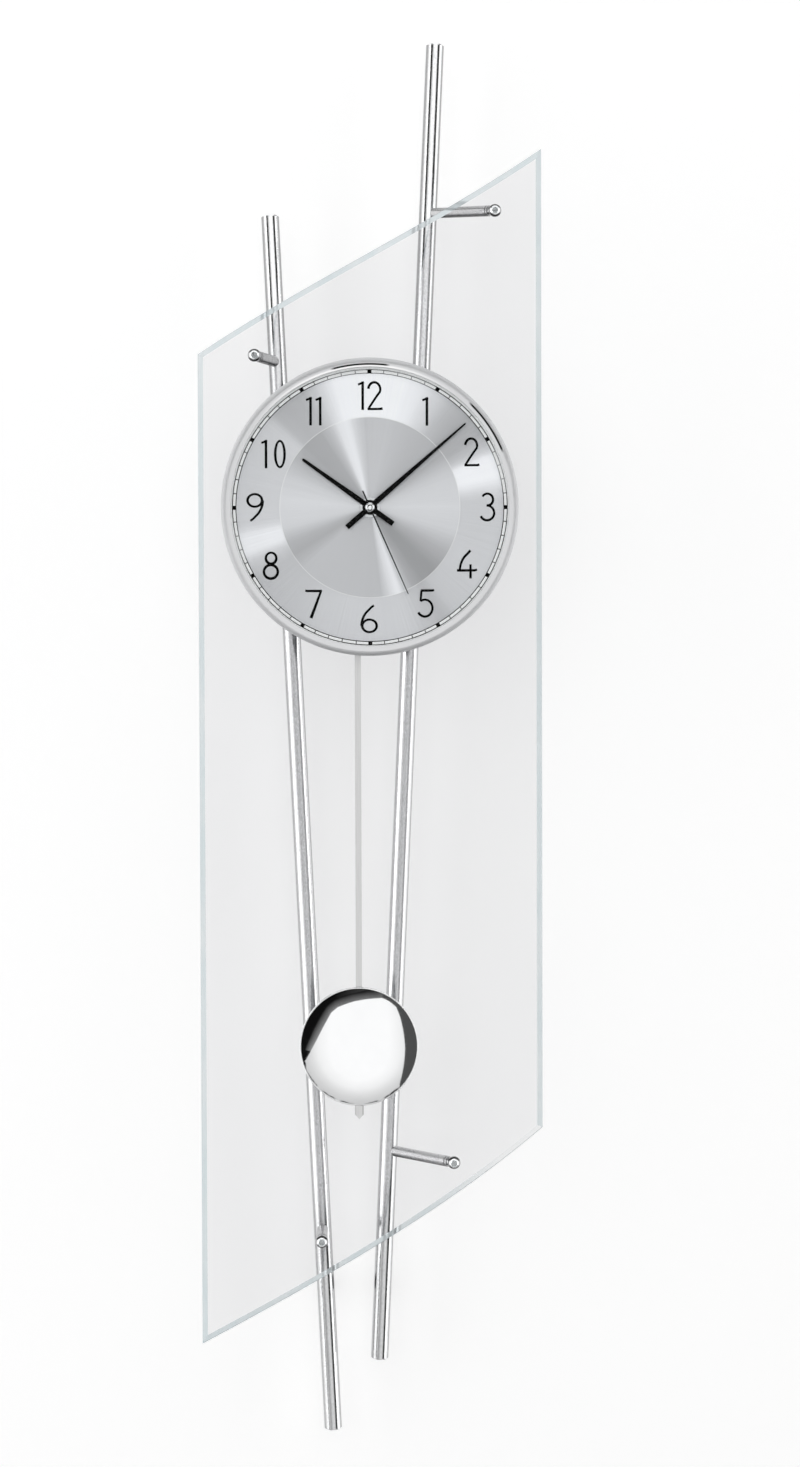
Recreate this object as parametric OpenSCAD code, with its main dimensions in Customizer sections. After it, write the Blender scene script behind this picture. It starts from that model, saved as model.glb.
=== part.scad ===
// Wall clock with a free swinging pendulum. A facet edged glass panel stands on four ball ended
// arms in front of two leaning metal tubes. The round clock case and the pendulum are in front of it.
// Millimetres. X runs to the right, Z up, and the clock faces -Y. The wall is the plane Y = 0.
// The origin is the seat of the hanging slot, where the wall screw carries the clock.
// Depths are measured forward from the wall. Heights and offsets are measured from the dial axis.

/* [Hanging] */
// Height of the hanging slot above the dial axis
hang_height = 46; // [44:1:48]
// Distance from the wall to the tube axes
tube_stand_off = 20; // [18:0.5:24]
// Thickness of the hanger plate
hanger_t = 1.5; // [1:0.25:2]
// Width of the slot that rests on the wall screw
slot_w = 4.6; // [4:0.2:5]
// Diameter of the entry hole under the slot
entry_d = 9; // [8.5:0.25:10]
// Drop from the slot seat to the middle of the entry hole
entry_drop = 9; // [8:0.5:10]

/* [Tubes] */
// Outside diameter of the tubes
tube_d = 10; // [9:0.5:11]
// Wall of the tubes
tube_wall = 1; // [0.75:0.25:1.5]
// Distance of the left tube axis from the dial axis, at dial height
left_tube_x = 47.7; // [45:0.1:50]
// Distance of the right tube axis from the dial axis, at dial height
right_tube_x = 25.3; // [24:0.1:28]
// Lean of the left tube from upright, in degrees
left_lean = 2.75; // [2:0.05:3.2]
// Lean of the right tube from upright, in degrees
right_lean = 2.59; // [2:0.05:3]
// Top of the left tube above the dial axis
left_tube_top = 165; // [130:0.1:220]
// Top of the right tube above the dial axis
right_tube_top = 260; // [210:0.1:300]
// Bottom of the left tube below the dial axis
left_tube_low = 518; // [460:1:560]
// Bottom of the right tube below the dial axis
right_tube_low = 478; // [450:1:520]
// Chamfer on the end plugs
plug_chamfer = 0.8; // [0.3:0.1:0.8]
// Depth of the end plugs inside the tubes
plug_depth = 8; // [5:1:12]

/* [Ball ended arms] */
// Diameter of the arm stems
stem_d = 6; // [5:0.5:7]
// Diameter of the balls
ball_d = 7.25; // [6.5:0.25:8]
// Distance from the tube axes forward to the ball centres
ball_reach = 27; // [24:0.5:32]
// Height of the upper left arm above the dial axis
arm_top_left_z = 83.8; // [83:0.1:90]
// Height of the upper right arm above the dial axis
arm_top_right_z = 167; // [150:0.1:170]
// Drop of the lower right arm below the dial axis
arm_low_right_z = 359.9; // [340:0.1:362]
// Drop of the lower left arm below the dial axis
arm_low_left_z = 403.6; // [380:0.1:408]
// Sideways offset of the upper left ball from its tube
top_left_side = -11.8; // [-16:0.1:-8]
// Sideways offset of both right balls from their tube
right_side = 36.5; // [30:0.5:38]
// Sideways offset of the lower left ball from its tube
low_left_side = 0; // [-2:0.1:2]
// Rise of the upper left ball above the root of its arm
top_left_rise = 2; // [0:0.1:3]
// Fall of both right balls below the roots of their arms
right_fall = 1; // [0:0.1:3]
// Fall of the lower left ball below the root of its arm
low_left_fall = 2.8; // [0:0.1:4]
// Depth of the small flat that is cut on each ball
ball_flat = 0.4; // [0.3:0.05:0.5]
// Thickness of the bond between a ball and the glass
bond_t = 0.2; // [0.1:0.05:0.3]
// Diameter of the threaded studs that hold the arms
arm_stud_d = 3; // [2.5:0.5:3]

/* [Glass panel] */
// Width of the glass panel
glass_w = 189; // [186:1:196]
// Thickness of the glass
glass_t = 5; // [4:0.5:6]
// Top left corner above the dial axis
glass_top_left = 85.3; // [84:0.1:100]
// Top right corner above the dial axis
glass_top_right = 197.2; // [190:0.1:210]
// Bottom right corner below the dial axis
glass_low_right = 342; // [335:1:360]
// Bottom left corner below the dial axis
glass_low_left = 462; // [445:1:480]
// Bow of the bottom edge near its left end
low_bow_left = 5.7; // [0:0.1:8]
// Bow of the bottom edge near its right end
low_bow_right = 10.4; // [0:0.1:12]
// Rise of the top edge near its left end
top_wave_left = 3.6; // [0:0.1:6]
// Dip of the top edge near its right end
top_wave_right = 4.5; // [0:0.1:6]
// Width of the facet on the front edges
facet_w = 3; // [2:0.1:4.5]
// Depth of the facet
facet_depth = 1.2; // [0.8:0.1:2]
// Small arris on the back edges
arris = 0.4; // [0.2:0.1:0.6]
// Diameter of the service hole behind the case
service_hole_d = 84; // [83:0.5:90]
// Service hole middle, below the dial axis
service_hole_z = 6; // [5:0.5:7]

/* [Cross bars and case fixing] */
// Height of the upper cross bar
upper_bar_h = 16; // [15:0.5:17]
// Height of the lower cross bar
lower_bar_h = 12; // [10:0.5:13]
// Drop of the lower cross bar below the dial axis
lower_bar_z = 52; // [50:1:54]
// Length of bar past the left tube axis
bar_left_end = 6; // [5.5:0.25:7]
// Length of bar past the right spacer axis
bar_right_end = 7; // [5.5:0.25:9]
// Depth of the seat that a tube takes in a bar
bar_seat = 2; // [1:0.25:3]
// Outside diameter of the case spacers
spacer_d = 8; // [7:0.5:9]
// Left column of case spacers, left of the dial axis
spacer_left_x = 34; // [32:0.5:34.5]
// Right column of case spacers, right of the dial axis
spacer_right_x = 39; // [38:0.5:41]
// Diameter of the case and tube screws
screw_d = 4; // [3.5:0.5:4]
// Diameter of their heads
screw_head_d = 7; // [6.5:0.25:7.5]
// Thickness of their heads
screw_head_t = 2.6; // [2:0.2:3]
// Depth of the head recess in the back of a bar
head_recess = 4; // [3.5:0.25:5]
// Height of the wall buffers below the dial axis
buffer_z = 440; // [420:1:450]
// Diameter of the wall buffers
buffer_d = 8; // [7:0.5:9]

/* [Clock case] */
// Outside diameter of the case pan
pan_d = 156; // [155:0.5:160]
// Wall of the bezel around the case pan
bezel_wall = 2.5; // [2:0.1:3]
// Width of the bezel lip over the edge of the pan
lip_cover = 2.8; // [2.4:0.1:3.2]
// Gap between the glass panel and the case
case_gap = 1; // [0.5:0.25:2]
// Wall of the case pan
pan_wall = 1.6; // [1.2:0.1:2]
// Depth of the pan, from its back to the back of the dial
pan_depth = 19.9; // [19.6:0.1:22]
// Distance from the back of the pan to the back edge of the bezel
bezel_start = 6.7; // [6.5:0.1:9]
// Thickness of the dial plate
dial_t = 0.8; // [0.6:0.1:1]
// Distance of the dial edge inside the outside of the pan
dial_margin = 0.3; // [0.2:0.05:0.5]
// Space between dial and crystal
lens_gap = 7; // [7:0.1:9]
// Thickness of the crystal
crystal_t = 2; // [1.5:0.25:3]
// Wall of the spacer ring under the crystal
ring_wall = 1; // [0.8:0.1:1.2]
// Thickness of the bezel lip
lip_t = 1.2; // [1:0.1:1.6]
// Radius of the rounded front corner of the bezel
bezel_corner = 3.2; // [2.5:0.1:3.4]

/* [Dial] */
// Diameter of the raised dial centre
centre_d = 98.2; // [94:0.2:100]
// Thickness of the raised dial centre
centre_t = 0.4; // [0.3:0.05:0.5]
// Thickness of the printing
ink_t = 0.08; // [0.06:0.01:0.1]
// Distance from the bezel lip to the minute track
track_margin = 0.4; // [0.2:0.05:1]
// Width of the minute track
track_w = 2.3; // [2:0.1:3]
// Width of the track lines
track_line = 0.45; // [0.2:0.05:0.6]
// Size of the hour squares in the track
hour_mark = 2.2; // [1.6:0.1:2.6]
// Distance of the numerals inside the middle of their ring
numeral_inset = 0.3; // [0:0.1:1]
// Height of the numerals
numeral_h = 15.4; // [13:0.1:16]
// Main stroke of the numerals
numeral_stroke = 1.4; // [1:0.05:1.6]
// Thin stroke of the numerals
numeral_thin = 1.2; // [0.7:0.05:1.4]

/* [Hands] */
// Hour hand from its axis to its tip
hour_len = 44.9; // [42:0.1:48]
// Hour hand tail
hour_tail = 15.4; // [12:0.1:18]
// Minute hand from its axis to its tip
minute_len = 68.9; // [64:0.1:70]
// Minute hand tail
minute_tail = 16.5; // [12:0.1:18]
// Second hand from its axis to its tip
second_len = 51.4; // [48:0.1:60]
// Second hand tail
second_tail = 9.7; // [8:0.1:12]
// Distance from the axis at which the hands start to taper
hand_taper = 8; // [0:1:20]
// Width of the hour hand at the tip
hour_tip_w = 1.55; // [1:0.05:2]
// Width of the minute hand at the tip
minute_tip_w = 0.9; // [0.6:0.05:1.6]
// Width of the hour and minute hands at the axis and the tail
hand_w = 2.85; // [2.4:0.05:3.6]
// Width of the second hand at the tip
second_tip_w = 0.45; // [0.3:0.05:0.8]
// Width of the second hand at the axis and the tail
second_w = 0.75; // [0.5:0.05:1]
// Thickness of the hour and minute hands
hand_t = 0.4; // [0.3:0.1:0.5]
// Thickness of the second hand
second_t = 0.2; // [0.15:0.05:0.3]
// Diameter of the black hand bosses
boss_d = 7.4; // [7.4:0.2:9]
// Diameter of the bright hub cap
cap_d = 5.2; // [4.6:0.1:6]
// Height of the hub cap
cap_h = 1.5; // [1:0.1:1.6]
// Angle of the hour hand from twelve, clockwise
hour_angle = 305.6; // [0:0.1:359]
// Angle of the minute hand from twelve, clockwise
minute_angle = 49; // [0:1:359]
// Angle of the second hand from twelve, clockwise
second_angle = 156.3; // [0:0.1:359]

/* [Movement] */
// Width of the movement
mov_w = 56; // [56:0.5:58]
// Top of the movement above the dial axis
mov_top = 30; // [30:0.5:32]
// Bottom of the movement below the dial axis
mov_low = 36; // [36:0.25:37]
// Thickness of the movement
mov_t = 15.8; // [15.8:0.1:16]
// Wall of the movement housing
mov_wall = 1.2; // [1:0.1:1.2]
// Thickness of the rubber washer behind the dial
washer_t = 1; // [0.8:0.1:1.2]
// Diameter of the rubber washer
washer_d = 14; // [12:0.5:18]
// Diameter of the threaded bush through the dial
bush_d = 8; // [7.6:0.1:8.2]
// Diameter of the dial nut
nut_d = 11; // [10.4:0.2:14]
// Thickness of the dial nut
nut_t = 1.6; // [1.4:0.1:1.7]
// Diameter of the battery
battery_d = 14; // [13.8:0.1:14.2]
// Length of the battery body
battery_l = 49.2; // [48.8:0.1:49.4]
// Battery axis below the dial axis
battery_z = 27; // [26.8:0.1:27.4]
// Diameter of the ferrite rod
ferrite_d = 6; // [5:0.25:7]
// Length of the ferrite rod
ferrite_l = 50; // [46:1:52]
// Height of the ferrite rod above the dial axis
ferrite_z = 24; // [23.5:0.25:24.5]
// Diameter of the antenna winding
antenna_d = 8; // [7.6:0.2:9]
// Length of the antenna winding
antenna_l = 30; // [20:1:34]
// Travel of the push buttons
button_travel = 0.6; // [0.4:0.1:0.7]
// Diameter of the push button stems
button_d = 3; // [2.6:0.2:3.4]

/* [Gear train] */
// Teeth on the seconds wheel and on the minute wheel
wheel_teeth = 50; // [50:1:50]
// Teeth on the idler wheels
idler_teeth = 60; // [60:1:60]
// Teeth on the rotor and idler pinions
pinion_teeth = 10; // [10:1:10]
// Teeth on the minute pinion
cannon_teeth = 12; // [12:1:12]
// Teeth on the changing wheel
changing_teeth = 36; // [36:1:36]
// Teeth on the hour wheel
hour_teeth = 40; // [40:1:40]
// Tooth module of the wheels that the idler pinions drive
wheel_module = 0.25; // [0.24:0.005:0.26]
// Tooth module of the idler wheels and rotor pinions
rotor_module = 0.2; // [0.19:0.005:0.205]
// Thickness of the wheels
wheel_t = 0.8; // [0.6:0.1:0.9]
// Diameter of the seconds arbor
arbor_d = 1; // [0.8:0.1:1.1]
// Outside diameter of the minute pipe
minute_pipe_d = 3; // [2.8:0.1:3.1]
// Outside diameter of the hour pipe
hour_pipe_d = 5; // [4.8:0.1:5.2]
// Radial running clearance of the shafts
running = 0.06; // [0.04:0.01:0.08]

/* [Pendulum] */
// Pendulum pivot, left of the dial axis
pivot_x = 7; // [5:0.1:8]
// Pendulum pivot, below the dial axis
pivot_z = 42; // [41.5:0.1:44]
// Middle of the bob below the dial axis
bob_z = 295.6; // [270:0.1:310]
// Bottom tip of the rod below the dial axis
rod_low = 336; // [332:1:350]
// Diameter of the bob
bob_d = 65.5; // [60:0.5:70]
// Height of the domed front of the bob
bob_dome = 7.2; // [5:0.1:9]
// Diameter of the rolled edge round the bob
bob_bead = 0.8; // [0.6:0.1:1]
// Depth of the back cover of the bob
bob_cover = 2.6; // [2.4:0.1:3]
// Sheet of the bob shells
bob_sheet = 0.6; // [0.5:0.1:0.8]
// Width of the pendulum rod
rod_w = 3.4; // [2.4:0.1:3.6]
// Thickness of the pendulum rod
rod_t = 0.8; // [0.6:0.1:0.9]
// Width of the rod below the bob
tail_w = 4.6; // [3.6:0.1:5]
// Swing of the pendulum to each side, in degrees
swing = 4; // [2:0.5:5]

/* [Hidden] */
$fn = 64;
// Clearance of screws and plugs in their holes
fit = 0.05;
// Clearance of curved seats
seat = 0.05;

// Depths from the wall, front to back order of the pieces
bar_back = hanger_t;
bar_front = tube_stand_off - tube_d / 2 + bar_seat;
ball_depth = tube_stand_off + ball_reach;
flat_depth = ball_depth + ball_d / 2 - ball_flat;
glass_back = flat_depth + bond_t;
glass_front = glass_back + glass_t;
pan_back = glass_front + case_gap;
pan_floor = pan_back + pan_wall;
dial_back = pan_back + pan_depth;
dial_front = dial_back + dial_t;
crystal_back = dial_front + lens_gap;
crystal_front = crystal_back + crystal_t;
bezel_back = pan_back + bezel_start;
bezel_front = crystal_front + lip_t;
cover_front = dial_back - washer_t;
mov_back = cover_front - mov_t;
mov_floor = mov_back + mov_wall;
cover_back = cover_front - mov_wall;

// Levels of the gear train, above the floor of the movement
level_gap = 0.35;
pivot_depth = 0.6;
idler_level = mov_floor + 1.4;
seconds_level = idler_level + 2;
minute_level = seconds_level + 2;
bridge_back = minute_level + wheel_t + level_gap;
bridge_t = 0.8;
bridge_front = bridge_back + bridge_t;
changing_level = bridge_front + level_gap;
hour_level = changing_level + wheel_t + 2 * level_gap;
stator_level = seconds_level + 0.2;
stator_t = 0.8;

// Levels of the hands
bush_front = dial_front + nut_t + 0.1;
hour_boss_back = bush_front + 0.25;
boss_t = 0.9;
boss_step = boss_t + 0.35;
minute_boss_back = hour_boss_back + boss_step;
second_boss_back = minute_boss_back + boss_step;
second_boss_t = 0.5;
second_boss_d = 4.4;
cap_back = second_boss_back + second_boss_t;

// Diameters across the case, from the pan outward and inward
bezel_d = pan_d + 2 * bezel_wall;
lip_d = pan_d - 2 * lip_cover;
dial_d = pan_d - 2 * dial_margin;
track_r = lip_d / 2 - track_margin;
numeral_r = (centre_d / 2 + track_r - track_w) / 2 - numeral_inset;

// Radii of the shafts
pivot_r = 0.4;

// Places of the gear centres, as [x, z] from the dial axis
idler_x = wheel_module * (pinion_teeth + wheel_teeth) / 2;
rotor_reach = rotor_module * (pinion_teeth + idler_teeth) / 2;
rotor_turn = 40;
rotor_x = idler_x + rotor_reach * cos(rotor_turn);
rotor_z = -rotor_reach * sin(rotor_turn);
changing_z = wheel_module * (cannon_teeth + changing_teeth) / 2;
hour_module = 2 * changing_z / (pinion_teeth + hour_teeth);

// Stator frames and coils
stator_low = rotor_z - 11.5;
stator_high = rotor_z + 11.5;
stator_bar = 7;
core_x = rotor_x + 8.6;
core_w = 3;
coil_w = 6;
coil_l = 13;
magnet_d = 4.4;
air_gap = 0.35;

// Pendulum drive
rod_back = pan_floor + 2.9;
rod_front = rod_back + rod_t;
hanger_level = rod_front + 0.1;
lever_t = 1.2;
lever_front = hanger_level + lever_t;
magnet_t = 1.4;
drive_back = lever_front + magnet_t + 0.6;
drive_front = cover_back;
drive_w = 34;
drive_high = mov_low + 1;
drive_low = 66;
lever_w = 6;
magnet_z = 57;
eye_z = 62;
bob_rim = rod_front + 0.6;

// Ends of the tubes and corners of the glass
corner_low_left = [-glass_w / 2, -glass_low_left];
corner_low_right = [glass_w / 2, -glass_low_right];
corner_top_right = [glass_w / 2, glass_top_right];
corner_top_left = [-glass_w / 2, glass_top_left];
edge_steps = 20;

// Helpers that place shapes in the frame of the dial axis

module at_dial() {
    translate([0, 0, -hang_height]) children();
}

// A flat drawing in X and Z, made solid between two depths
module plate(back, front) {
    translate([0, -back, 0]) rotate([90, 0, 0]) linear_extrude(front - back) children();
}

// A profile of [radius, depth] points turned about an axis that runs forward from the wall
module turned(x = 0, z = 0) {
    translate([x, 0, z]) rotate([90, 0, 0]) rotate_extrude() children();
}

// A round peg that runs forward from the wall
module peg(x, z, d, back, front) {
    translate([x, -back, z]) rotate([90, 0, 0]) cylinder(d = d, h = front - back);
}

// A round tube that runs forward from the wall
module sleeve(x, z, d, bore, back, front) {
    difference() {
        peg(x, z, d, back, front);
        peg(x, z, bore, back - 1, front + 1);
    }
}

// A block given by its limits
module block(left, right, low, high, back, front) {
    translate([left, -front, low]) cube([right - left, front - back, high - low]);
}

// Tube geometry

function left_x(z) = -left_tube_x - z * tan(left_lean);
function right_x(z) = right_tube_x + z * tan(right_lean);

module on_left_tube(z) {
    translate([left_x(z), -tube_stand_off, z]) rotate([0, -left_lean, 0]) children();
}

module on_right_tube(z) {
    translate([right_x(z), -tube_stand_off, z]) rotate([0, right_lean, 0]) children();
}

// A round bar on a tube axis, from its low end to its top
module left_tube_shape(d, trim = 0) {
    on_left_tube(0)
        translate([0, 0, -left_tube_low / cos(left_lean) + trim])
            cylinder(d = d, h = (left_tube_low + left_tube_top) / cos(left_lean) - 2 * trim);
}

module right_tube_shape(d, trim = 0) {
    on_right_tube(0)
        translate([0, 0, -right_tube_low / cos(right_lean) + trim])
            cylinder(d = d, h = (right_tube_low + right_tube_top) / cos(right_lean) - 2 * trim);
}

// Turns local +Z to point from a tube axis to a ball that is offset sideways and along the tube
module toward(side, rise) {
    rotate([0, 0, atan2(side, ball_reach)])
        rotate([90 - atan2(rise, norm([side, ball_reach])), 0, 0])
            children();
}

function arm_length(side, rise) = norm([side, ball_reach, rise]);

module top_left_arm_axis() on_left_tube(arm_top_left_z) toward(top_left_side, top_left_rise) children();
module low_left_arm_axis() on_left_tube(-arm_low_left_z) toward(low_left_side, -low_left_fall) children();
module top_right_arm_axis() on_right_tube(arm_top_right_z) toward(right_side, -right_fall) children();
module low_right_arm_axis() on_right_tube(-arm_low_right_z) toward(right_side, -right_fall) children();

// Hole for an arm stud through the front wall of a tube
module arm_hole() {
    cylinder(d = arm_stud_d + 2 * fit, h = tube_d);
}

// Hole in the back wall of a tube for a screw or a buffer stub, at a height
module rear_hole(x, z, d) {
    peg(x, z, d, tube_stand_off - tube_d, tube_stand_off);
}

function upper_bar_z() = hang_height;

module left_tube_screw_places() {
    for (z = [upper_bar_z(), -lower_bar_z]) translate([left_x(z), 0, z]) children();
}

module right_tube_screw_places() {
    for (z = [upper_bar_z(), -lower_bar_z]) translate([right_x(z), 0, z]) children();
}

module tube_left() color("silver") at_dial() difference() {
    left_tube_shape(tube_d);
    left_tube_shape(tube_d - 2 * tube_wall, -1);
    top_left_arm_axis() arm_hole();
    low_left_arm_axis() arm_hole();
    left_tube_screw_places() rear_hole(0, 0, screw_d + 2 * fit);
    rear_hole(left_x(-buffer_z), -buffer_z, stub_d + 2 * fit);
}

module tube_right() color("silver") at_dial() difference() {
    right_tube_shape(tube_d);
    right_tube_shape(tube_d - 2 * tube_wall, -1);
    top_right_arm_axis() arm_hole();
    low_right_arm_axis() arm_hole();
    right_tube_screw_places() rear_hole(0, 0, screw_d + 2 * fit);
    rear_hole(right_x(-buffer_z), -buffer_z, stub_d + 2 * fit);
}

// A turned plug whose chamfered cap closes a tube end, with its cap toward +Z
plug_cap = 1;
module end_plug() {
    rotate_extrude() polygon([
        [0, -plug_depth],
        [tube_d / 2 - tube_wall - fit, -plug_depth],
        [tube_d / 2 - tube_wall - fit, 0],
        [tube_d / 2, 0],
        [tube_d / 2, plug_cap - plug_chamfer],
        [tube_d / 2 - plug_chamfer, plug_cap],
        [0, plug_cap]
    ]);
}

module tube_end_plugs() color("lightgray") at_dial() {
    on_left_tube(left_tube_top) end_plug();
    on_left_tube(-left_tube_low) rotate([180, 0, 0]) end_plug();
    on_right_tube(right_tube_top) end_plug();
    on_right_tube(-right_tube_low) rotate([180, 0, 0]) end_plug();
}

// Ball ended arms

arm_bore_depth = 12;
groove_back = 5.2;
groove_w = 0.7;
groove_depth = 0.5;
collar_end = 3.7;
neck_d = 4.4;

// An arm along +Z whose ball centre is at the given length from the tube axis
module arm_blank(length) {
    rotate_extrude() polygon([
        [0, tube_d / 4],
        [stem_d / 2, tube_d / 4],
        [stem_d / 2, length - groove_back],
        [stem_d / 2 - groove_depth, length - groove_back],
        [stem_d / 2 - groove_depth, length - groove_back + groove_w],
        [stem_d / 2, length - groove_back + groove_w],
        [stem_d / 2, length - collar_end],
        [neck_d / 2, length - collar_end],
        [neck_d / 2, length - ball_d / 4],
        [0, length - ball_d / 4]
    ]);
    translate([0, 0, length]) sphere(d = ball_d);
}

module arm_tapping() {
    cylinder(d = arm_stud_d, h = arm_bore_depth);
}

// Everything in front of the flats on the balls
module in_front_of_flats() {
    block(-glass_w, glass_w, -glass_low_left, glass_top_right, flat_depth, flat_depth + ball_d);
}

module arm_top_left() color("gainsboro") at_dial() difference() {
    top_left_arm_axis() arm_blank(arm_length(top_left_side, top_left_rise));
    left_tube_shape(tube_d + 2 * seat);
    top_left_arm_axis() arm_tapping();
    in_front_of_flats();
}

module arm_low_left() color("gainsboro") at_dial() difference() {
    low_left_arm_axis() arm_blank(arm_length(low_left_side, low_left_fall));
    left_tube_shape(tube_d + 2 * seat);
    low_left_arm_axis() arm_tapping();
    in_front_of_flats();
}

module arms_right() color("gainsboro") at_dial() difference() {
    union() {
        top_right_arm_axis() arm_blank(arm_length(right_side, right_fall));
        low_right_arm_axis() arm_blank(arm_length(right_side, right_fall));
    }
    right_tube_shape(tube_d + 2 * seat);
    top_right_arm_axis() arm_tapping();
    low_right_arm_axis() arm_tapping();
    in_front_of_flats();
}

stud_reach = 10.5;
stud_inside = 1;
// A headless stud that joins an arm to the front wall of its tube. Its reach is from the tube axis.
module arm_stud() {
    back = tube_d / 2 - tube_wall - stud_inside;
    translate([0, 0, back]) cylinder(d = arm_stud_d - 2 * fit, h = stud_reach - back);
}

module arm_studs() color("dimgray") at_dial() {
    top_left_arm_axis() arm_stud();
    low_left_arm_axis() arm_stud();
    top_right_arm_axis() arm_stud();
    low_right_arm_axis() arm_stud();
}

bond_d = 4.4;
// A bond between the flat of a ball and the glass, for a ball beside a tube axis at x and z
module bond_pad(x, z, lean, side, rise) {
    peg(x + side * cos(lean) + rise * sin(lean), z - side * sin(lean) + rise * cos(lean),
        bond_d, flat_depth, glass_back);
}

module bond_pads() color("whitesmoke") at_dial() {
    bond_pad(left_x(arm_top_left_z), arm_top_left_z, -left_lean, top_left_side, top_left_rise);
    bond_pad(left_x(-arm_low_left_z), -arm_low_left_z, -left_lean, low_left_side, -low_left_fall);
    bond_pad(right_x(arm_top_right_z), arm_top_right_z, right_lean, right_side, -right_fall);
    bond_pad(right_x(-arm_low_right_z), -arm_low_right_z, right_lean, right_side, -right_fall);
}

// Glass panel

function side_of(a, b) = [a[1] - b[1], b[0] - a[0]] / norm(b - a);

// A point on an edge from a to b that bows to its left by two handles, for t from 0 to 1
function edge_point(a, b, bow_a, bow_b, t) =
    a + t * (b - a) + 3 * t * (1 - t) * ((1 - t) * bow_a + t * bow_b) * side_of(a, b);

glass_outline = concat(
    [for (i = [0:edge_steps]) edge_point(corner_low_left, corner_low_right,
        -low_bow_left, -low_bow_right, i / edge_steps)],
    [for (i = [0:edge_steps]) edge_point(corner_top_right, corner_top_left,
        top_wave_right, -top_wave_left, i / edge_steps)]
);

// The outline drawn inward by a distance, with mitred corners
function inset(points, by) = [for (i = [0:len(points) - 1])
    let (last = points[(i + len(points) - 1) % len(points)],
         next = points[(i + 1) % len(points)],
         n1 = side_of(last, points[i]),
         n2 = side_of(points[i], next))
    points[i] + by * (n1 + n2) / (1 + n1 * n2)];

function ring_at(points, depth) = [for (p = points) [p[0], -depth, p[1]]];

// Flat faces between the low and the top edge of the outline that starts at a point number
function edge_to_edge(first) = [for (i = [0:edge_steps - 1])
    [first + i, first + i + 1, first + 2 * edge_steps - i, first + 2 * edge_steps + 1 - i]];

function turned_over(face) = [for (i = [len(face) - 1:-1:0]) face[i]];

module glass_blank() {
    n = len(glass_outline);
    polyhedron(
        points = concat(
            ring_at(inset(glass_outline, arris), glass_back),
            ring_at(glass_outline, glass_back + arris),
            ring_at(glass_outline, glass_front - facet_depth),
            ring_at(inset(glass_outline, facet_w), glass_front)
        ),
        faces = concat(
            edge_to_edge(0),
            [for (k = [0:2]) for (i = [0:n - 1])
                [k * n + i, (k + 1) * n + i, (k + 1) * n + (i + 1) % n, k * n + (i + 1) % n]],
            [for (f = edge_to_edge(3 * n)) turned_over(f)]
        )
    );
}

spacer_hole_d = spacer_d + 1.2;
module spacer_places() {
    for (x = [-spacer_left_x, spacer_right_x])
        for (z = [upper_bar_z(), -lower_bar_z])
            translate([x, 0, z]) children();
}

module glass_panel() color("lightcyan", 0.4) at_dial() difference() {
    glass_blank();
    spacer_places() peg(0, 0, spacer_hole_d, glass_back - 1, glass_front + 1);
    peg(0, -service_hole_z, service_hole_d, glass_back - 1, glass_front + 1);
}

// Cross bars, screws and hanger

module bar_blank(z, h) {
    block(left_x(z) - bar_left_end, spacer_right_x + bar_right_end, z - h / 2, z + h / 2,
        bar_back, bar_front);
}

// A screw hole through a bar, with a recess for the head in the back
module bar_hole() {
    peg(0, 0, screw_d + 4 * fit, bar_back - 1, bar_front + 1);
    peg(0, 0, screw_head_d + 6 * fit, bar_back - 1, bar_back + head_recess);
}

module bar_cuts() {
    left_tube_shape(tube_d + 2 * seat);
    right_tube_shape(tube_d + 2 * seat);
    left_tube_screw_places() bar_hole();
    right_tube_screw_places() bar_hole();
    spacer_places() bar_hole();
}

// Room behind the hanger plate for the head of the wall screw
pocket_depth = 7;
pocket_d = 11;
hanger_w = 26;
hanger_high = 6.5;
hanger_low = 15.5;
hanger_screw_x = 9.5;
hanger_screw_drop = 3;
hanger_screw_d = 2.5;
module wall_screw_pocket() {
    peg(0, upper_bar_z(), pocket_d, bar_back - 1, bar_back + pocket_depth);
    block(-pocket_d / 2, pocket_d / 2, upper_bar_z() - upper_bar_h, upper_bar_z(),
        bar_back - 1, bar_back + pocket_depth);
}

module hanger_screw_places() {
    for (side = [-1, 1]) translate([side * hanger_screw_x, 0, upper_bar_z() - hanger_screw_drop]) children();
}

module upper_crossbar() color("darkgray") at_dial() difference() {
    bar_blank(upper_bar_z(), upper_bar_h);
    bar_cuts();
    wall_screw_pocket();
    hanger_screw_places() peg(0, 0, hanger_screw_d + 2 * fit, bar_back - 1, bar_back + 7);
}

module lower_crossbar() color("darkgray") at_dial() difference() {
    bar_blank(-lower_bar_z, lower_bar_h);
    bar_cuts();
}

module bar_screw(tip) {
    peg(0, 0, screw_d, bar_back + head_recess - 0.1, tip);
    difference() {
        peg(0, 0, screw_head_d, bar_back + head_recess - screw_head_t, bar_back + head_recess);
        plate(bar_back, bar_back + head_recess - screw_head_t / 2) circle(d = screw_d, $fn = 6);
    }
}

tube_screw_tip = tube_stand_off - tube_d / 2 + tube_wall + 1;
module crossbar_screws() color("gray") at_dial() {
    left_tube_screw_places() bar_screw(tube_screw_tip);
    right_tube_screw_places() bar_screw(tube_screw_tip);
}

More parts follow.
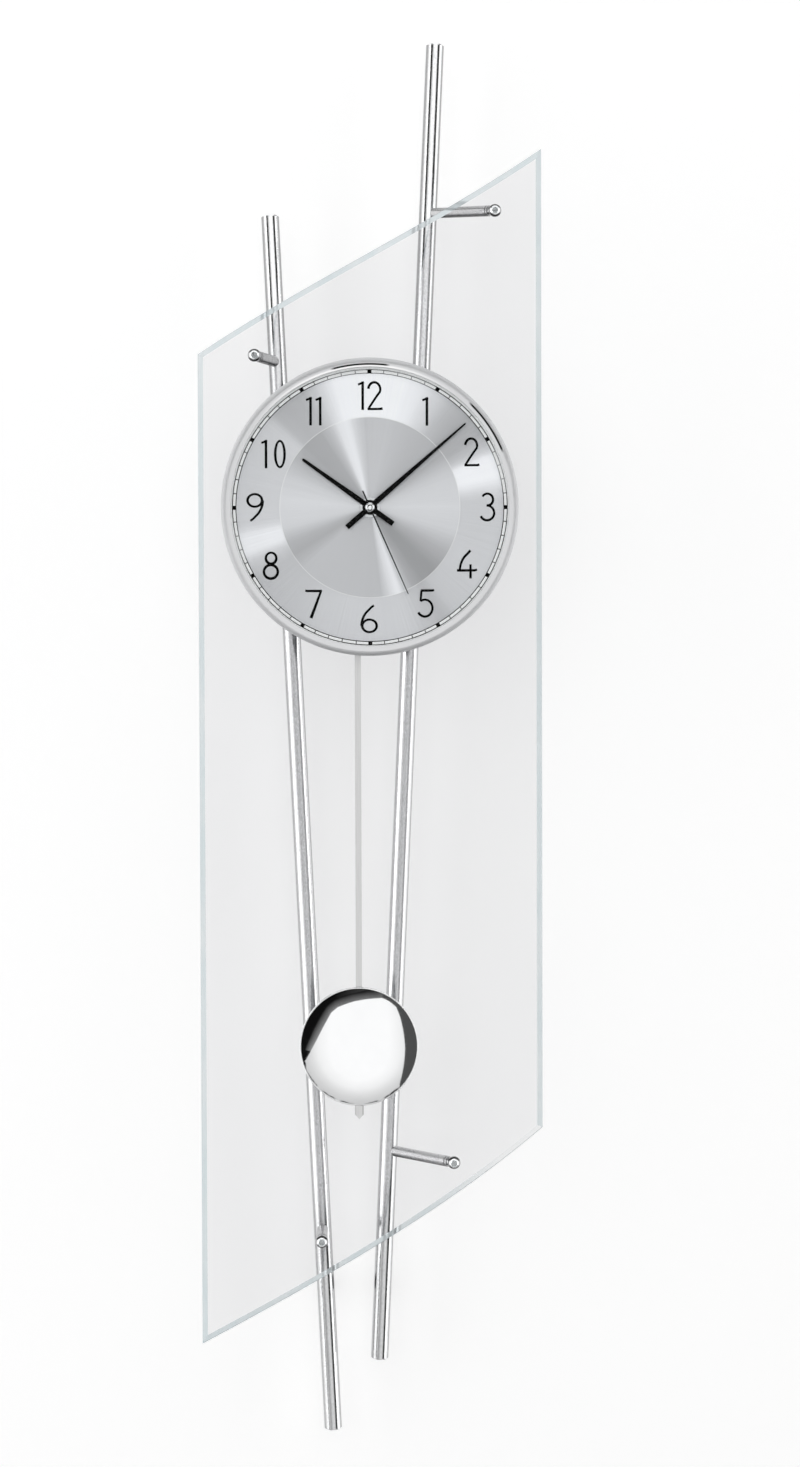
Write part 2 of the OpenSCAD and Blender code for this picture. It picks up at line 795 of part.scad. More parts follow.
module hanger_plate() color("lightsteelblue") at_dial() difference() {
    block(-hanger_w / 2, hanger_w / 2, upper_bar_z() - hanger_low, upper_bar_z() + hanger_high, 0, hanger_t);
    peg(0, upper_bar_z(), slot_w, -1, hanger_t + 1);
    block(-slot_w / 2, slot_w / 2, upper_bar_z() - entry_drop, upper_bar_z(), -1, hanger_t + 1);
    peg(0, upper_bar_z() - entry_drop, entry_d, -1, hanger_t + 1);
    hanger_screw_places() peg(0, 0, hanger_screw_d + 2 * fit, -1, hanger_t + 1);
    hanger_screw_places() turned() polygon([
        [0, -1],
        [hanger_screw_d / 2 + 1 + 2 * fit, -1],
        [hanger_screw_d / 2 + 1 + 2 * fit, 0],
        [hanger_screw_d / 2 + fit, 1],
        [0, 1]
    ]);
}

hanger_screw_l = 7;
module hanger_screws() color("gray") at_dial() hanger_screw_places() turned() polygon([
    [0, 0.1],
    [hanger_screw_d / 2 + 0.9, 0.1],
    [hanger_screw_d / 2, 1],
    [hanger_screw_d / 2, hanger_screw_l],
    [0, hanger_screw_l]
]);

stub_d = 3.8;
stub_l = 2;
module wall_buffer(x) {
    difference() {
        peg(x, -buffer_z, buffer_d, 0, tube_stand_off);
        left_tube_shape(tube_d + 2 * seat);
        right_tube_shape(tube_d + 2 * seat);
        block(x - buffer_d, x + buffer_d, -buffer_z - buffer_d, -buffer_z + buffer_d,
            tube_stand_off - tube_d / 4, tube_stand_off + tube_d);
    }
    peg(x, -buffer_z, stub_d, tube_stand_off - tube_d / 2 - 1, tube_stand_off - tube_d / 2 + stub_l);
}

module wall_buffers() color("dimgray") at_dial() {
    wall_buffer(left_x(-buffer_z));
    wall_buffer(right_x(-buffer_z));
}

// Clock case

boss_outer_d = 8;
boss_front = pan_floor + 6;
window_half_w = 26.8;
window_low = 35;
window_high = 25;
rod_slot_w = rod_w + 2 * (pan_d / 2 - pivot_z) * tan(swing) + 3;
module case_back() color("lightgray") at_dial() difference() {
    union() {
        turned() polygon([
            [0, pan_back],
            [pan_d / 2 - 1, pan_back],
            [pan_d / 2, pan_back + 1],
            [pan_d / 2, dial_back],
            [pan_d / 2 - pan_wall, dial_back],
            [pan_d / 2 - pan_wall, pan_floor],
            [0, pan_floor]
        ]);
        spacer_places() peg(0, 0, boss_outer_d, pan_floor - 0.5, boss_front);
    }
    spacer_places() peg(0, 0, screw_d + 2 * fit, pan_back - 1, boss_front - 1);
    block(-window_half_w, window_half_w, -window_low, window_high, pan_back - 1, pan_floor + 1);
    block(-pivot_x - rod_slot_w / 2, -pivot_x + rod_slot_w / 2, -pan_d, -pan_d / 2 + 4 * pan_wall,
        rod_back - 1, rod_front + 1);
}

module case_spacers() color("silver") at_dial()
    spacer_places() sleeve(0, 0, spacer_d, screw_d + 6 * fit, bar_front, pan_back);

module case_screws() color("gray") at_dial() spacer_places() bar_screw(boss_front - 2);

ring_d = dial_d - 1.6;
bezel_seat_d = ring_d + 0.4;
lip_bevel = 0.15;

// Everything outside the round front corner of the bezel
module bezel_corner_cut() turned() translate([bezel_d / 2 - bezel_corner, bezel_front - bezel_corner])
    difference() {
        square(2 * bezel_corner);
        circle(r = bezel_corner, $fn = 120);
    }

module bezel() color("silver") at_dial() difference() {
    turned() polygon([
        [pan_d / 2 + fit, bezel_back],
        [bezel_d / 2, bezel_back],
        [bezel_d / 2, bezel_front],
        [lip_d / 2 + lip_bevel, bezel_front],
        [lip_d / 2, bezel_front - lip_bevel],
        [lip_d / 2, crystal_front],
        [bezel_seat_d / 2, crystal_front],
        [bezel_seat_d / 2, dial_front + fit],
        [pan_d / 2 + fit, dial_front + fit]
    ]);
    bezel_corner_cut();
}

module crystal() color("azure", 0.25) at_dial() plate(crystal_back, crystal_front) circle(d = ring_d);

module spacer_ring() color("white") at_dial() plate(dial_front, crystal_back) difference() {
    circle(d = ring_d);
    circle(d = ring_d - 2 * ring_wall);
}

module dial_plate() color("silver") at_dial() plate(dial_back, dial_front) difference() {
    circle(d = dial_d);
    circle(d = bush_d + 0.2);
}

module dial_centre() color("lightgray") at_dial() plate(dial_front, dial_front + centre_t) difference() {
    circle(d = centre_d);
    circle(d = nut_d + 0.4);
}

// Numerals, drawn as strokes in a box one unit high about the middle of each figure

function arc(x, y, rx, ry, from, to, steps = 14) =
    [for (i = [0:steps]) let (a = from + (to - from) * i / steps) [x + rx * cos(a), y + ry * sin(a)]];

function stroke_side(points, i) =
    let (before = points[max(i - 1, 0)], after = points[min(i + 1, len(points) - 1)])
    side_of(before, after);

// The outline of a path drawn with a pen whose width changes from w0 to w1
function pen(points, w0, w1) =
    let (n = len(points) - 1)
    concat(
        [for (i = [0:n]) points[i] + (w0 + (w1 - w0) * i / n) / 2 * stroke_side(points, i)],
        [for (i = [n:-1:0]) points[i] - (w0 + (w1 - w0) * i / n) / 2 * stroke_side(points, i)]
    );

thick = numeral_stroke / numeral_h;
thin = numeral_thin / numeral_h;

module stroke(points, w0 = thick, w1 = thick) polygon(pen(points, w0, w1));

module figure_0() {
    difference() {
        stroke_ellipse(0, 0, 0.21, 0.5);
        stroke_ellipse(0, 0, 0.21 - thick, 0.5 - thin);
    }
}

module stroke_ellipse(x, y, rx, ry) {
    polygon([for (i = [0:39]) [x + rx * cos(9 * i), y + ry * sin(9 * i)]]);
}

module figure_1() {
    stroke([[0, -0.5], [0, 0.5]]);
    stroke([[-0.16, 0.39], [thick / 2, 0.5 - thin / 3]], thin, thin);
}

module figure_2() {
    stroke(concat(
        arc(-0.01, 0.22, 0.21, 0.25, 175, -20),
        [[0.1, 0.02], [-0.05, -0.2], [-0.2, -0.43], [-0.225, -0.47]]
    ), thick, thin);
    stroke([[-0.25, -0.47], [0.2, -0.465], [0.28, -0.45]], thin, thick);
}

module figure_3() {
    stroke(arc(-0.02, 0.26, 0.2, 0.21, 150, -95), thin, thick);
    stroke(arc(-0.03, -0.21, 0.25, 0.26, 95, -155), thin, thick);
}

module figure_4() {
    stroke(concat([[0.12, 0.49], [0.02, 0.38]], arc(0.3, -0.25, 0.56, 0.72, 122, 175, 8)), thick, thin);
    stroke([[-0.36, -0.215], [0.26, -0.215], [0.35, -0.19]], thick, thin);
    stroke([[0.12, 0], [0.12, -0.5]], thin, thick);
}

module figure_5() {
    stroke([[-0.17, 0.46], [0.23, 0.46], [0.3, 0.475]], thick, thin);
    stroke([[-0.15, 0.46], [-0.18, 0.08]], thin, thin);
    stroke(arc(-0.03, -0.16, 0.27, 0.3, 125, -150), thin, thick);
}

module figure_6() {
    difference() {
        stroke_ellipse(0.01, -0.24, 0.3, 0.26);
        stroke_ellipse(0.01, -0.24, 0.3 - thick, 0.26 - thin);
    }
    stroke(concat([[0.17, 0.48], [0.06, 0.4]], arc(0.42, -0.24, 0.69, 0.72, 128, 180, 10)), thin, thick);
}

module figure_7() {
    stroke([[-0.3, 0.475], [-0.24, 0.455], [0.29, 0.455]], thin, thick);
    stroke([[0.26, 0.46], [-0.1, -0.5]], thin, thick * 1.2);
}

module figure_8() {
    difference() {
        union() {
            stroke_ellipse(0.01, 0.26, 0.23, 0.24);
            stroke_ellipse(0, -0.21, 0.29, 0.29);
        }
        stroke_ellipse(0.01, 0.27, 0.23 - thick, 0.23 - thin);
        stroke_ellipse(0, -0.21, 0.29 - thick, 0.27 - thin);
    }
}

module figure_9() rotate(180) figure_6();

module figure(n) {
    if (n == 0) figure_0();
    if (n == 1) figure_1();
    if (n == 2) figure_2();
    if (n == 3) figure_3();
    if (n == 4) figure_4();
    if (n == 5) figure_5();
    if (n == 6) figure_6();
    if (n == 7) figure_7();
    if (n == 8) figure_8();
    if (n == 9) figure_9();
}

// The figures of one hour side by side, with their offsets from its middle
module numeral(hour) {
    if (hour < 10) translate([hour == 1 ? 0.08 : 0, 0]) figure(hour);
    if (hour == 10) {
        translate([-0.29, 0]) figure(1);
        translate([0.2, 0]) figure(0);
    }
    if (hour == 11) {
        translate([-0.14, 0]) figure(1);
        translate([0.2, 0]) figure(1);
    }
    if (hour == 12) {
        translate([-0.28, 0]) figure(1);
        translate([0.14, 0]) figure(2);
    }
}

// Small shifts of the twelve numerals from their even places, from one to twelve, in millimetres
numeral_shift = [[-0.4, -0.5], [2.8, -0.3], [3.6, 0.1], [0.3, -0.7], [-0.1, 0.2], [-0.6, 0],
    [-0.4, 0.2], [-1.5, -1.2], [-1.8, 0.3], [0.6, -1.2], [0.4, -0.2], [0.6, 0]];

module minute_track() {
    for (r = [track_r, track_r - track_w + track_line]) difference() {
        circle(r = r);
        circle(r = r - track_line);
    }
    for (minute = [0:59]) rotate(6 * minute)
        translate([0, track_r - track_w / 2])
            square(minute % 5 == 0 ? [hour_mark, track_w] : [track_line, track_w - track_line],
                center = true);
}

module dial_print() color("black") at_dial() plate(dial_front, dial_front + ink_t) {
    minute_track();
    for (hour = [1:12])
        translate(numeral_r * [sin(30 * hour), cos(30 * hour)] + numeral_shift[hour - 1])
            scale(numeral_h) numeral(hour);
}

module dial_washer() color("black") at_dial() sleeve(0, 0, washer_d, bush_d + 0.2, cover_front, dial_back);

module dial_nut() color("gray") at_dial()
    sleeve(0, 0, nut_d, bush_d + 2 * fit, dial_front, dial_front + nut_t);

// Movement housing

board_back = mov_floor + 1.6;
board_t = 1;
board_half_w = 19;
board_low = 13;
board_high = 28.4;
board_post_x = 17;
board_post_low = 15;
board_post_high = 26.5;
board_post_d = 2.4;
ferrite_depth = board_back + board_t + 0.4 + antenna_d / 2;
ferrite_post_x = 22.5;
ferrite_post_w = 2.5;
bridge_half_w = 15.5;
bridge_low = 12;
bridge_high = 11.5;
bridge_post_d = 3;
button_z = 17;
set_button_x = -14;
reset_button_x = -5;
bay_half_w = 25.7;
bay_rib_z = 18.9;
bay_rib_t = 1;

module bridge_post_places() {
    for (side = [-1, 1]) {
        translate([side * 8, 0, 9.5]) children();
        translate([side * 5, 0, -10]) children();
    }
}

module board_post_places() {
    for (x = [-board_post_x, board_post_x])
        for (z = [board_post_low, board_post_high])
            translate([x, 0, z]) children();
}

// Blind bearing holes in the floor of the movement
module floor_bearings() {
    peg(0, 0, arbor_d + 2 * running, mov_floor - pivot_depth, mov_floor + 1);
    for (side = [-1, 1]) {
        peg(side * idler_x, 0, arbor_d + 2 * running, mov_floor - pivot_depth, mov_floor + 1);
        peg(side * rotor_x, rotor_z, 2 * (pivot_r + running), mov_floor - pivot_depth, mov_floor + 1);
    }
}

module movement_back() color("darkslategray") at_dial() difference() {
    union() {
        difference() {
            block(-mov_w / 2, mov_w / 2, -mov_low, mov_top, mov_back, cover_back);
            block(-mov_w / 2 + mov_wall, mov_w / 2 - mov_wall, -mov_low + mov_wall, mov_top - mov_wall,
                mov_floor, cover_back + 1);
        }
        bridge_post_places() peg(0, 0, bridge_post_d, mov_floor - 0.5, bridge_back);
        board_post_places() peg(0, 0, board_post_d, mov_floor - 0.5, board_back);
        for (side = [-1, 1]) block(side * ferrite_post_x - ferrite_post_w / 2,
            side * ferrite_post_x + ferrite_post_w / 2, ferrite_z - 2, ferrite_z + 2,
            mov_floor - 0.5, ferrite_depth);
        stator_feet();
        block(-mov_w / 2 + mov_wall / 2, mov_w / 2 - mov_wall / 2, -bay_rib_z, -bay_rib_z + bay_rib_t,
            mov_floor - 0.5, cover_back);
    }
    translate([-ferrite_post_x - ferrite_post_w, -ferrite_depth, ferrite_z]) rotate([0, 90, 0])
        cylinder(d = ferrite_d + 2 * fit, h = 2 * (ferrite_post_x + ferrite_post_w));
    floor_bearings();
    block(-bay_half_w, bay_half_w, -battery_z - battery_d / 2 - 0.4, -battery_z + battery_d / 2 + 0.4,
        mov_back - 1, mov_floor + 1);
    for (x = [set_button_x, reset_button_x])
        peg(x, button_z, button_d + 2 * running, mov_back - 1, mov_floor + 1);
}

module movement_cover() color("darkslategray") at_dial() difference() {
    union() {
        block(-mov_w / 2, mov_w / 2, -mov_low, mov_top, cover_back, cover_front);
        block(-pivot_x - drive_w / 2, -pivot_x + drive_w / 2, -drive_low, -mov_low + 1,
            cover_back, cover_front);
        peg(0, 0, bush_d, cover_back, bush_front);
    }
    peg(0, 0, hour_pipe_d + 2 * running, cover_back - 1, bush_front + 1);
}

changing_post_d = 1.2;
module train_bridge() color("goldenrod") at_dial() {
    difference() {
        block(-bridge_half_w, bridge_half_w, -bridge_low, bridge_high, bridge_back, bridge_front);
        peg(0, 0, minute_pipe_d + 2 * running, bridge_back - 1, bridge_front + 1);
        for (side = [-1, 1]) {
            peg(side * idler_x, 0, arbor_d + 2 * running, bridge_back - 1, bridge_front + 1);
            peg(side * rotor_x, rotor_z, 2 * (pivot_r + running), bridge_back - 1, bridge_front + 1);
        }
    }
    peg(0, changing_z, changing_post_d, bridge_front - 0.2, hour_level + wheel_t + 0.8);
}

// Motors

stator_tab = 3.5;
module stator_outline() {
    difference() {
        translate([rotor_x - stator_bar / 2, stator_low])
            square([core_x + core_w / 2 - rotor_x + stator_bar / 2, stator_high - stator_low]);
        translate([rotor_x + stator_bar / 2, stator_low + stator_tab])
            square([core_x - core_w / 2 - rotor_x - stator_bar / 2,
                stator_high - stator_low - 2 * stator_tab]);
        translate([rotor_x, rotor_z]) circle(d = magnet_d + 2 * air_gap);
    }
}

// Feet on the floor of the movement that carry the stators under their two tabs
module stator_feet() {
    for (side = [-1, 1])
        for (z = [stator_low + stator_tab / 2, stator_high - stator_tab / 2])
            peg(side * (rotor_x + 4.6), z, 2, mov_floor - 0.5, stator_level);
}

module seconds_stator() color("silver") at_dial()
    plate(stator_level, stator_level + stator_t) stator_outline();

module minutes_stator() color("silver") at_dial() plate(stator_level, stator_level + stator_t)
    mirror([1, 0]) stator_outline();

module coil_shape() {
    middle = stator_level + stator_t / 2;
    difference() {
        block(core_x - coil_w / 2, core_x + coil_w / 2, rotor_z - coil_l / 2, rotor_z + coil_l / 2,
            middle - coil_w / 2, middle + coil_w / 2);
        block(core_x - core_w / 2 - fit, core_x + core_w / 2 + fit, rotor_z - coil_l, rotor_z + coil_l,
            stator_level - fit, stator_level + stator_t + fit);
    }
}

module seconds_coil() color("chocolate") at_dial() coil_shape();

module minutes_coil() color("chocolate") at_dial() mirror([1, 0, 0]) coil_shape();

// Gears. Tooth height and width are shares of the module and of the tooth pitch.

tooth_out = 0.8;
tooth_in = 1.2;
tip_share = 0.2;
root_share = 0.5;
module gear(teeth, m, phase = 0) {
    pitch_r = teeth * m / 2;
    step = 360 / teeth;
    polygon([for (i = [0:teeth - 1]) for (k = [0:3])
        let (r = k == 0 || k == 3 ? pitch_r - tooth_in * m : pitch_r + tooth_out * m,
             share = [-root_share, -tip_share, tip_share, root_share][k] / 2,
             a = phase + (i + share) * step)
        r * [cos(a), sin(a)]]);
}

// A gear with a tooth toward an angle, and its partner with a gap toward it, lie in mesh
function gap_toward(angle, teeth) = angle + 180 / teeth;

module rotor_shape() {
    peg(0, 0, 2 * pivot_r, mov_floor - pivot_depth + 0.1, bridge_front);
    plate(idler_level - 0.4, stator_level - 0.4) gear(pinion_teeth, rotor_module, 180 - rotor_turn);
    peg(0, 0, magnet_d, stator_level - 0.4, stator_level + stator_t + 0.4);
}

module seconds_rotor() color("dimgray") at_dial() translate([rotor_x, 0, rotor_z]) rotor_shape();

module minutes_rotor() color("dimgray") at_dial() mirror([1, 0, 0]) translate([rotor_x, 0, rotor_z])
    rotor_shape();

// An idler whose large wheel meets the rotor and whose pinion meets a wheel on the dial axis
module idler_shape(level) {
    peg(0, 0, arbor_d, mov_floor - pivot_depth + 0.1, bridge_front);
    plate(idler_level, idler_level + wheel_t)
        gear(idler_teeth, rotor_module, gap_toward(-rotor_turn, idler_teeth));
    plate(level - 0.3, level + wheel_t + 0.2) gear(pinion_teeth, wheel_module, 180);
}

module seconds_idler() color("ivory") at_dial() translate([idler_x, 0, 0]) idler_shape(seconds_level);

module minutes_idler() color("ivory") at_dial() mirror([1, 0, 0]) translate([idler_x, 0, 0])
    idler_shape(minute_level);

module seconds_wheel() color("ivory") at_dial() {
    peg(0, 0, arbor_d, mov_floor - pivot_depth + 0.1, cap_back);
    plate(seconds_level, seconds_level + wheel_t) gear(wheel_teeth, wheel_module, gap_toward(0, wheel_teeth));
}

module minute_wheel() color("ivory") at_dial() difference() {
    union() {
        plate(minute_level, minute_level + wheel_t)
            gear(wheel_teeth, wheel_module, gap_toward(180, wheel_teeth));
        peg(0, 0, minute_pipe_d, minute_level, changing_level - 0.1);
        plate(changing_level - 0.1, changing_level + wheel_t + 0.1) gear(cannon_teeth, wheel_module, 90);
        peg(0, 0, minute_pipe_d - 0.6, changing_level, minute_boss_back + boss_t);
    }
    peg(0, 0, arbor_d + 2 * running, minute_level - 1, minute_boss_back + boss_t + 1);
}

module changing_wheel() color("ivory") at_dial() translate([0, 0, changing_z]) difference() {
    union() {
        plate(changing_level, changing_level + wheel_t)
            gear(changing_teeth, wheel_module, gap_toward(270, changing_teeth));
        plate(changing_level + wheel_t, hour_level + wheel_t + 0.2) gear(pinion_teeth, hour_module, 270);
    }
    peg(0, 0, changing_post_d + 2 * running, changing_level - 1, hour_level + wheel_t + 1);
}

module hour_wheel() color("ivory") at_dial() difference() {
    union() {
        plate(hour_level, hour_level + wheel_t) gear(hour_teeth, hour_module, gap_toward(90, hour_teeth));
        peg(0, 0, hour_pipe_d, hour_level, hour_boss_back + boss_t);
    }
    peg(0, 0, minute_pipe_d - 0.6 + 2 * running, hour_level - 1, hour_boss_back + boss_t + 1);
}

// Electronics and battery

module circuit_board() color("darkgreen") at_dial() {
    block(-board_half_w, board_half_w, board_low, board_high, board_back, board_back + board_t);
    block(3, 11, 15.5, 19.5, board_back + board_t - 0.1, board_back + board_t + 0.8);
}

module ferrite_rod() color("black") at_dial() translate([-ferrite_l / 2, -ferrite_depth, ferrite_z])
    rotate([0, 90, 0]) cylinder(d = ferrite_d, h = ferrite_l);

module antenna_coil() color("chocolate") at_dial() translate([-antenna_l / 2, -ferrite_depth, ferrite_z])
    rotate([0, 90, 0]) difference() {
        cylinder(d = antenna_d, h = antenna_l);
        translate([0, 0, -1]) cylinder(d = ferrite_d + 2 * fit, h = antenna_l + 2);
    }

battery_depth = cover_back - 0.3 - battery_d / 2;
battery_shift = 0.3;
nub_d = 5.4;
nub_l = 1;
contact_t = 0.4;
contact_x = mov_w / 2 - mov_wall - contact_t;
module battery() color("tan") at_dial()
    translate([-battery_l / 2 - battery_shift, -battery_depth, -battery_z]) rotate([0, 90, 0]) {
        cylinder(d = battery_d, h = battery_l);
        translate([0, 0, battery_l - 0.1]) cylinder(d = nub_d, h = nub_l + 0.1);
    }

module battery_contacts() color("silver") at_dial() {
    low = -battery_z - 5;
    high = -battery_z + 5;
    block(contact_x, contact_x + contact_t, low, high, battery_depth - 4, battery_depth + 4);
    block(-contact_x - contact_t, -contact_x, low, high, battery_depth - 4, battery_depth + 4);
    translate([battery_l / 2 - battery_shift + nub_l + 0.1, -battery_depth, -battery_z]) rotate([0, 90, 0])
        cylinder(d = nub_d - 1, h = contact_x - battery_l / 2 + battery_shift - nub_l);
    translate([-contact_x - 0.1, -battery_depth, -battery_z]) rotate([0, 90, 0])
        cylinder(d = nub_d + 1, h = contact_x - battery_l / 2 - battery_shift);
}

button_cap_t = 0.8;
button_flange_d = 4.4;
button_flange_t = 0.4;
module button_shape() {
    peg(0, 0, button_flange_d, mov_floor + 0.1, mov_floor + 0.1 + button_flange_t);
    peg(0, 0, button_d + 2, mov_back - button_travel - button_cap_t - 0.1, mov_back - button_travel - 0.1);
    peg(0, 0, button_d, mov_back - button_travel - 0.2, board_back - button_travel - 0.1);
}

module set_button() color("gray") at_dial() translate([set_button_x, 0, button_z]) button_shape();

module reset_button() color("gray") at_dial() translate([reset_button_x, 0, button_z]) button_shape();

// Pendulum drive and pendulum

pin_d = 2;
drive_wall = 1.2;
module drive_housing() color("darkslategray") at_dial() {
    left = -pivot_x - drive_w / 2;
    right = -pivot_x + drive_w / 2;
    difference() {
        block(left, right, -drive_low, -drive_high, drive_back, drive_front);
        block(left + drive_wall, right - drive_wall, -drive_low + drive_wall, -drive_high - drive_wall,
            drive_back + drive_wall, drive_front + 1);
        peg(-pivot_x, -pivot_z, pin_d + 2 * fit, drive_back - 1, drive_front);
    }
}

drive_coil_d = 12;
drive_coil_t = 5;
module drive_coil() color("chocolate") at_dial() sleeve(-pivot_x, -magnet_z + 1, drive_coil_d, 4,
    drive_back + drive_wall + 0.1, drive_back + drive_wall + 0.1 + drive_coil_t);

pin_head_d = 3.4;
pin_head_t = 0.6;
module pivot_pin() color("silver") at_dial() {
    peg(-pivot_x, -pivot_z, pin_d, hanger_level - 0.3, drive_back + drive_wall + 1);
    peg(-pivot_x, -pivot_z, pin_head_d, hanger_level - 0.3 - pin_head_t, hanger_level - 0.2);
    peg(-pivot_x, -pivot_z, pin_head_d, lever_front + 0.2, drive_back);
}

lever_top = 3;
eye_d = 1.6;
module pendulum_hanger() color("whitesmoke") at_dial() {
    difference() {
        block(-pivot_x - lever_w / 2, -pivot_x + lever_w / 2, -eye_z - 2, -pivot_z + lever_top,
            hanger_level, lever_front);
        peg(-pivot_x, -pivot_z, pin_d + 2 * running, hanger_level - 1, lever_front + 1);
    }
    peg(-pivot_x, -eye_z, eye_d, rod_back - 0.6, hanger_level + 0.1);
    peg(-pivot_x, -eye_z, eye_d + 1.4, rod_back - 0.9, rod_back - 0.4);
}

module pendulum_magnet() color("dimgray") at_dial()
    peg(-pivot_x, -magnet_z, lever_w - 0.6, lever_front, lever_front + magnet_t);

tail_point = 2.5;
module pendulum_rod() color("silver") at_dial() plate(rod_back, rod_front) difference() {
    translate([-pivot_x, 0]) union() {
        translate([0, -eye_z]) circle(d = rod_w + 1.6);
        translate([-rod_w / 2, -bob_z - bob_d / 4]) square([rod_w, bob_z + bob_d / 4 - eye_z]);
        polygon([
            [-tail_w / 2, -bob_z - bob_d / 4],
            [-tail_w / 2, -rod_low + tail_point],
            [0, -rod_low],
            [tail_w / 2, -rod_low + tail_point],
            [tail_w / 2, -bob_z - bob_d / 4]
        ]);
    }
    translate([-pivot_x, -eye_z]) circle(d = eye_d + 0.1);
}

// Radius of a sphere that gives a dome of a height on a base radius
function dome_radius(r, h) = (r * r + h * h) / (2 * h);

bob_fn = 240;
module bob_front() color("gainsboro") at_dial() translate([-pivot_x, 0, -bob_z]) {
    edge_r = (bob_d - bob_bead) / 2;
    foot = bob_rim + bob_bead / 2;
    outer = dome_radius(edge_r, bob_dome);
    difference() {
        intersection() {
            translate([0, outer - foot - bob_dome, 0]) sphere(r = outer, $fn = bob_fn);
            peg(0, 0, 2 * edge_r, foot, foot + bob_dome + 1);
        }
        translate([0, outer - foot - bob_dome, 0]) sphere(r = outer - bob_sheet, $fn = bob_fn);
    }
    sleeve(0, 0, 2 * edge_r, bob_d - 3, bob_rim, foot + 0.1);
    turned() translate([edge_r, foot]) circle(d = bob_bead);
}

cover_edge = 3;
module bob_back() color("silver") at_dial() difference() {
    turned(-pivot_x, -bob_z) polygon([
        [0, bob_rim - bob_cover - bob_sheet],
        [bob_d / 2 - cover_edge, bob_rim - bob_cover - bob_sheet],
        [bob_d / 2, bob_rim - 0.4],
        [bob_d / 2, bob_rim],
        [bob_d / 2 - 1.2, bob_rim],
        [bob_d / 2 - cover_edge - 0.4, bob_rim - bob_cover],
        [0, bob_rim - bob_cover]
    ]);
    block(-pivot_x - tail_w / 2 - 0.2, -pivot_x + tail_w / 2 + 0.2, -bob_z - bob_d, -bob_z + bob_d,
        rod_back - 0.1, rod_front + 0.1);
}

// Hands

tail_cut = 0.2;
// A hand along +Y, tapered to a round tip, turned clockwise from twelve
module hand_outline(len, tail, tip_w, w, angle) {
    rotate(-angle) polygon(concat(
        [[-w / 2, hand_taper], [-w / 2, -tail + tail_cut], [-w / 2 + tail_cut, -tail]],
        [[w / 2 - tail_cut, -tail], [w / 2, -tail + tail_cut], [w / 2, hand_taper]],
        [for (i = [0:6]) [tip_w / 2 * cos(30 * i), len - tip_w / 2 + tip_w / 2 * sin(30 * i)]]
    ));
}

module pressed_hand(boss_back, bore) {
    difference() {
        union() {
            plate(boss_back + (boss_t - hand_t) / 2, boss_back + (boss_t + hand_t) / 2) children();
            peg(0, 0, boss_d, boss_back, boss_back + boss_t);
        }
        peg(0, 0, bore, boss_back - 1, boss_back + boss_t + 1);
    }
}

module hour_hand() color("black") at_dial() pressed_hand(hour_boss_back, hour_pipe_d + 0.04)
    hand_outline(hour_len, hour_tail, hour_tip_w, hand_w, hour_angle);

module minute_hand() color("black") at_dial() pressed_hand(minute_boss_back, minute_pipe_d - 0.6 + 0.04)
    hand_outline(minute_len, minute_tail, minute_tip_w, hand_w, minute_angle);

module second_hand() color("black") at_dial() difference() {
    union() {
        plate(second_boss_back + 0.1, second_boss_back + 0.1 + second_t)
            hand_outline(second_len, second_tail, second_tip_w, second_w, second_angle);
        peg(0, 0, second_boss_d, second_boss_back, second_boss_back + second_boss_t);
    }
    peg(0, 0, arbor_d + 0.04, second_boss_back - 1, second_boss_back + 2);
}

module hub_cap() color("silver") at_dial() intersection() {
    translate([0, -(cap_back + cap_h - dome_radius(cap_d / 2, cap_h)), 0])
        sphere(r = dome_radius(cap_d / 2, cap_h));
    peg(0, 0, cap_d, cap_back, cap_back + 2 * cap_h);
}

glass_panel();
tube_left();
tube_right();
tube_end_plugs();
arm_top_left();
arm_low_left();
arms_right();
arm_studs();
bond_pads();
upper_crossbar();
lower_crossbar();
crossbar_screws();
hanger_plate();
hanger_screws();
wall_buffers();
case_back();
case_spacers();
case_screws();
bezel();
crystal();
spacer_ring();
dial_plate();
dial_centre();
dial_print();
dial_washer();
dial_nut();
movement_back();
movement_cover();
train_bridge();
seconds_stator();
minutes_stator();
seconds_coil();
minutes_coil();
seconds_rotor();
minutes_rotor();
seconds_idler();
minutes_idler();
seconds_wheel();
minute_wheel();
changing_wheel();
hour_wheel();
circuit_board();
ferrite_rod();
antenna_coil();
battery();
battery_contacts();
set_button();
reset_button();
drive_housing();
drive_coil();
pivot_pin();
pendulum_hanger();
pendulum_magnet();
pendulum_rod();
bob_front();
bob_back();
hour_hand();
minute_hand();
second_hand();
hub_cap();
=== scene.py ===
import math
import bpy
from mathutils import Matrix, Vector

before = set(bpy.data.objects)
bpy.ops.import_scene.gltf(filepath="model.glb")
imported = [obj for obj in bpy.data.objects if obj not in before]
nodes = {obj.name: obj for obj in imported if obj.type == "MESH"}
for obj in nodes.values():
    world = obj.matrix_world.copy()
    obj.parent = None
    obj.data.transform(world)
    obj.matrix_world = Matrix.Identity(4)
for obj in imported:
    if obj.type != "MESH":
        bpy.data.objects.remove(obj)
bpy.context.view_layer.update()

scene = bpy.context.scene

# Lengths are in metres and angles in degrees, unless a comment says otherwise.
# The clock faces -Y and the wall is the plane y = 0.

# The dial axis lies this far below the seat of the hanging slot, which is the origin
DIAL_Z = -0.046
# Radius of the balls at the ends of the arms
BALL_R = 0.0032
# A noise texture's values lie mostly between these two
NOISE = (0.3, 0.7)
WHITE = (1.0, 1.0, 1.0)
GLASS_IOR = 1.5


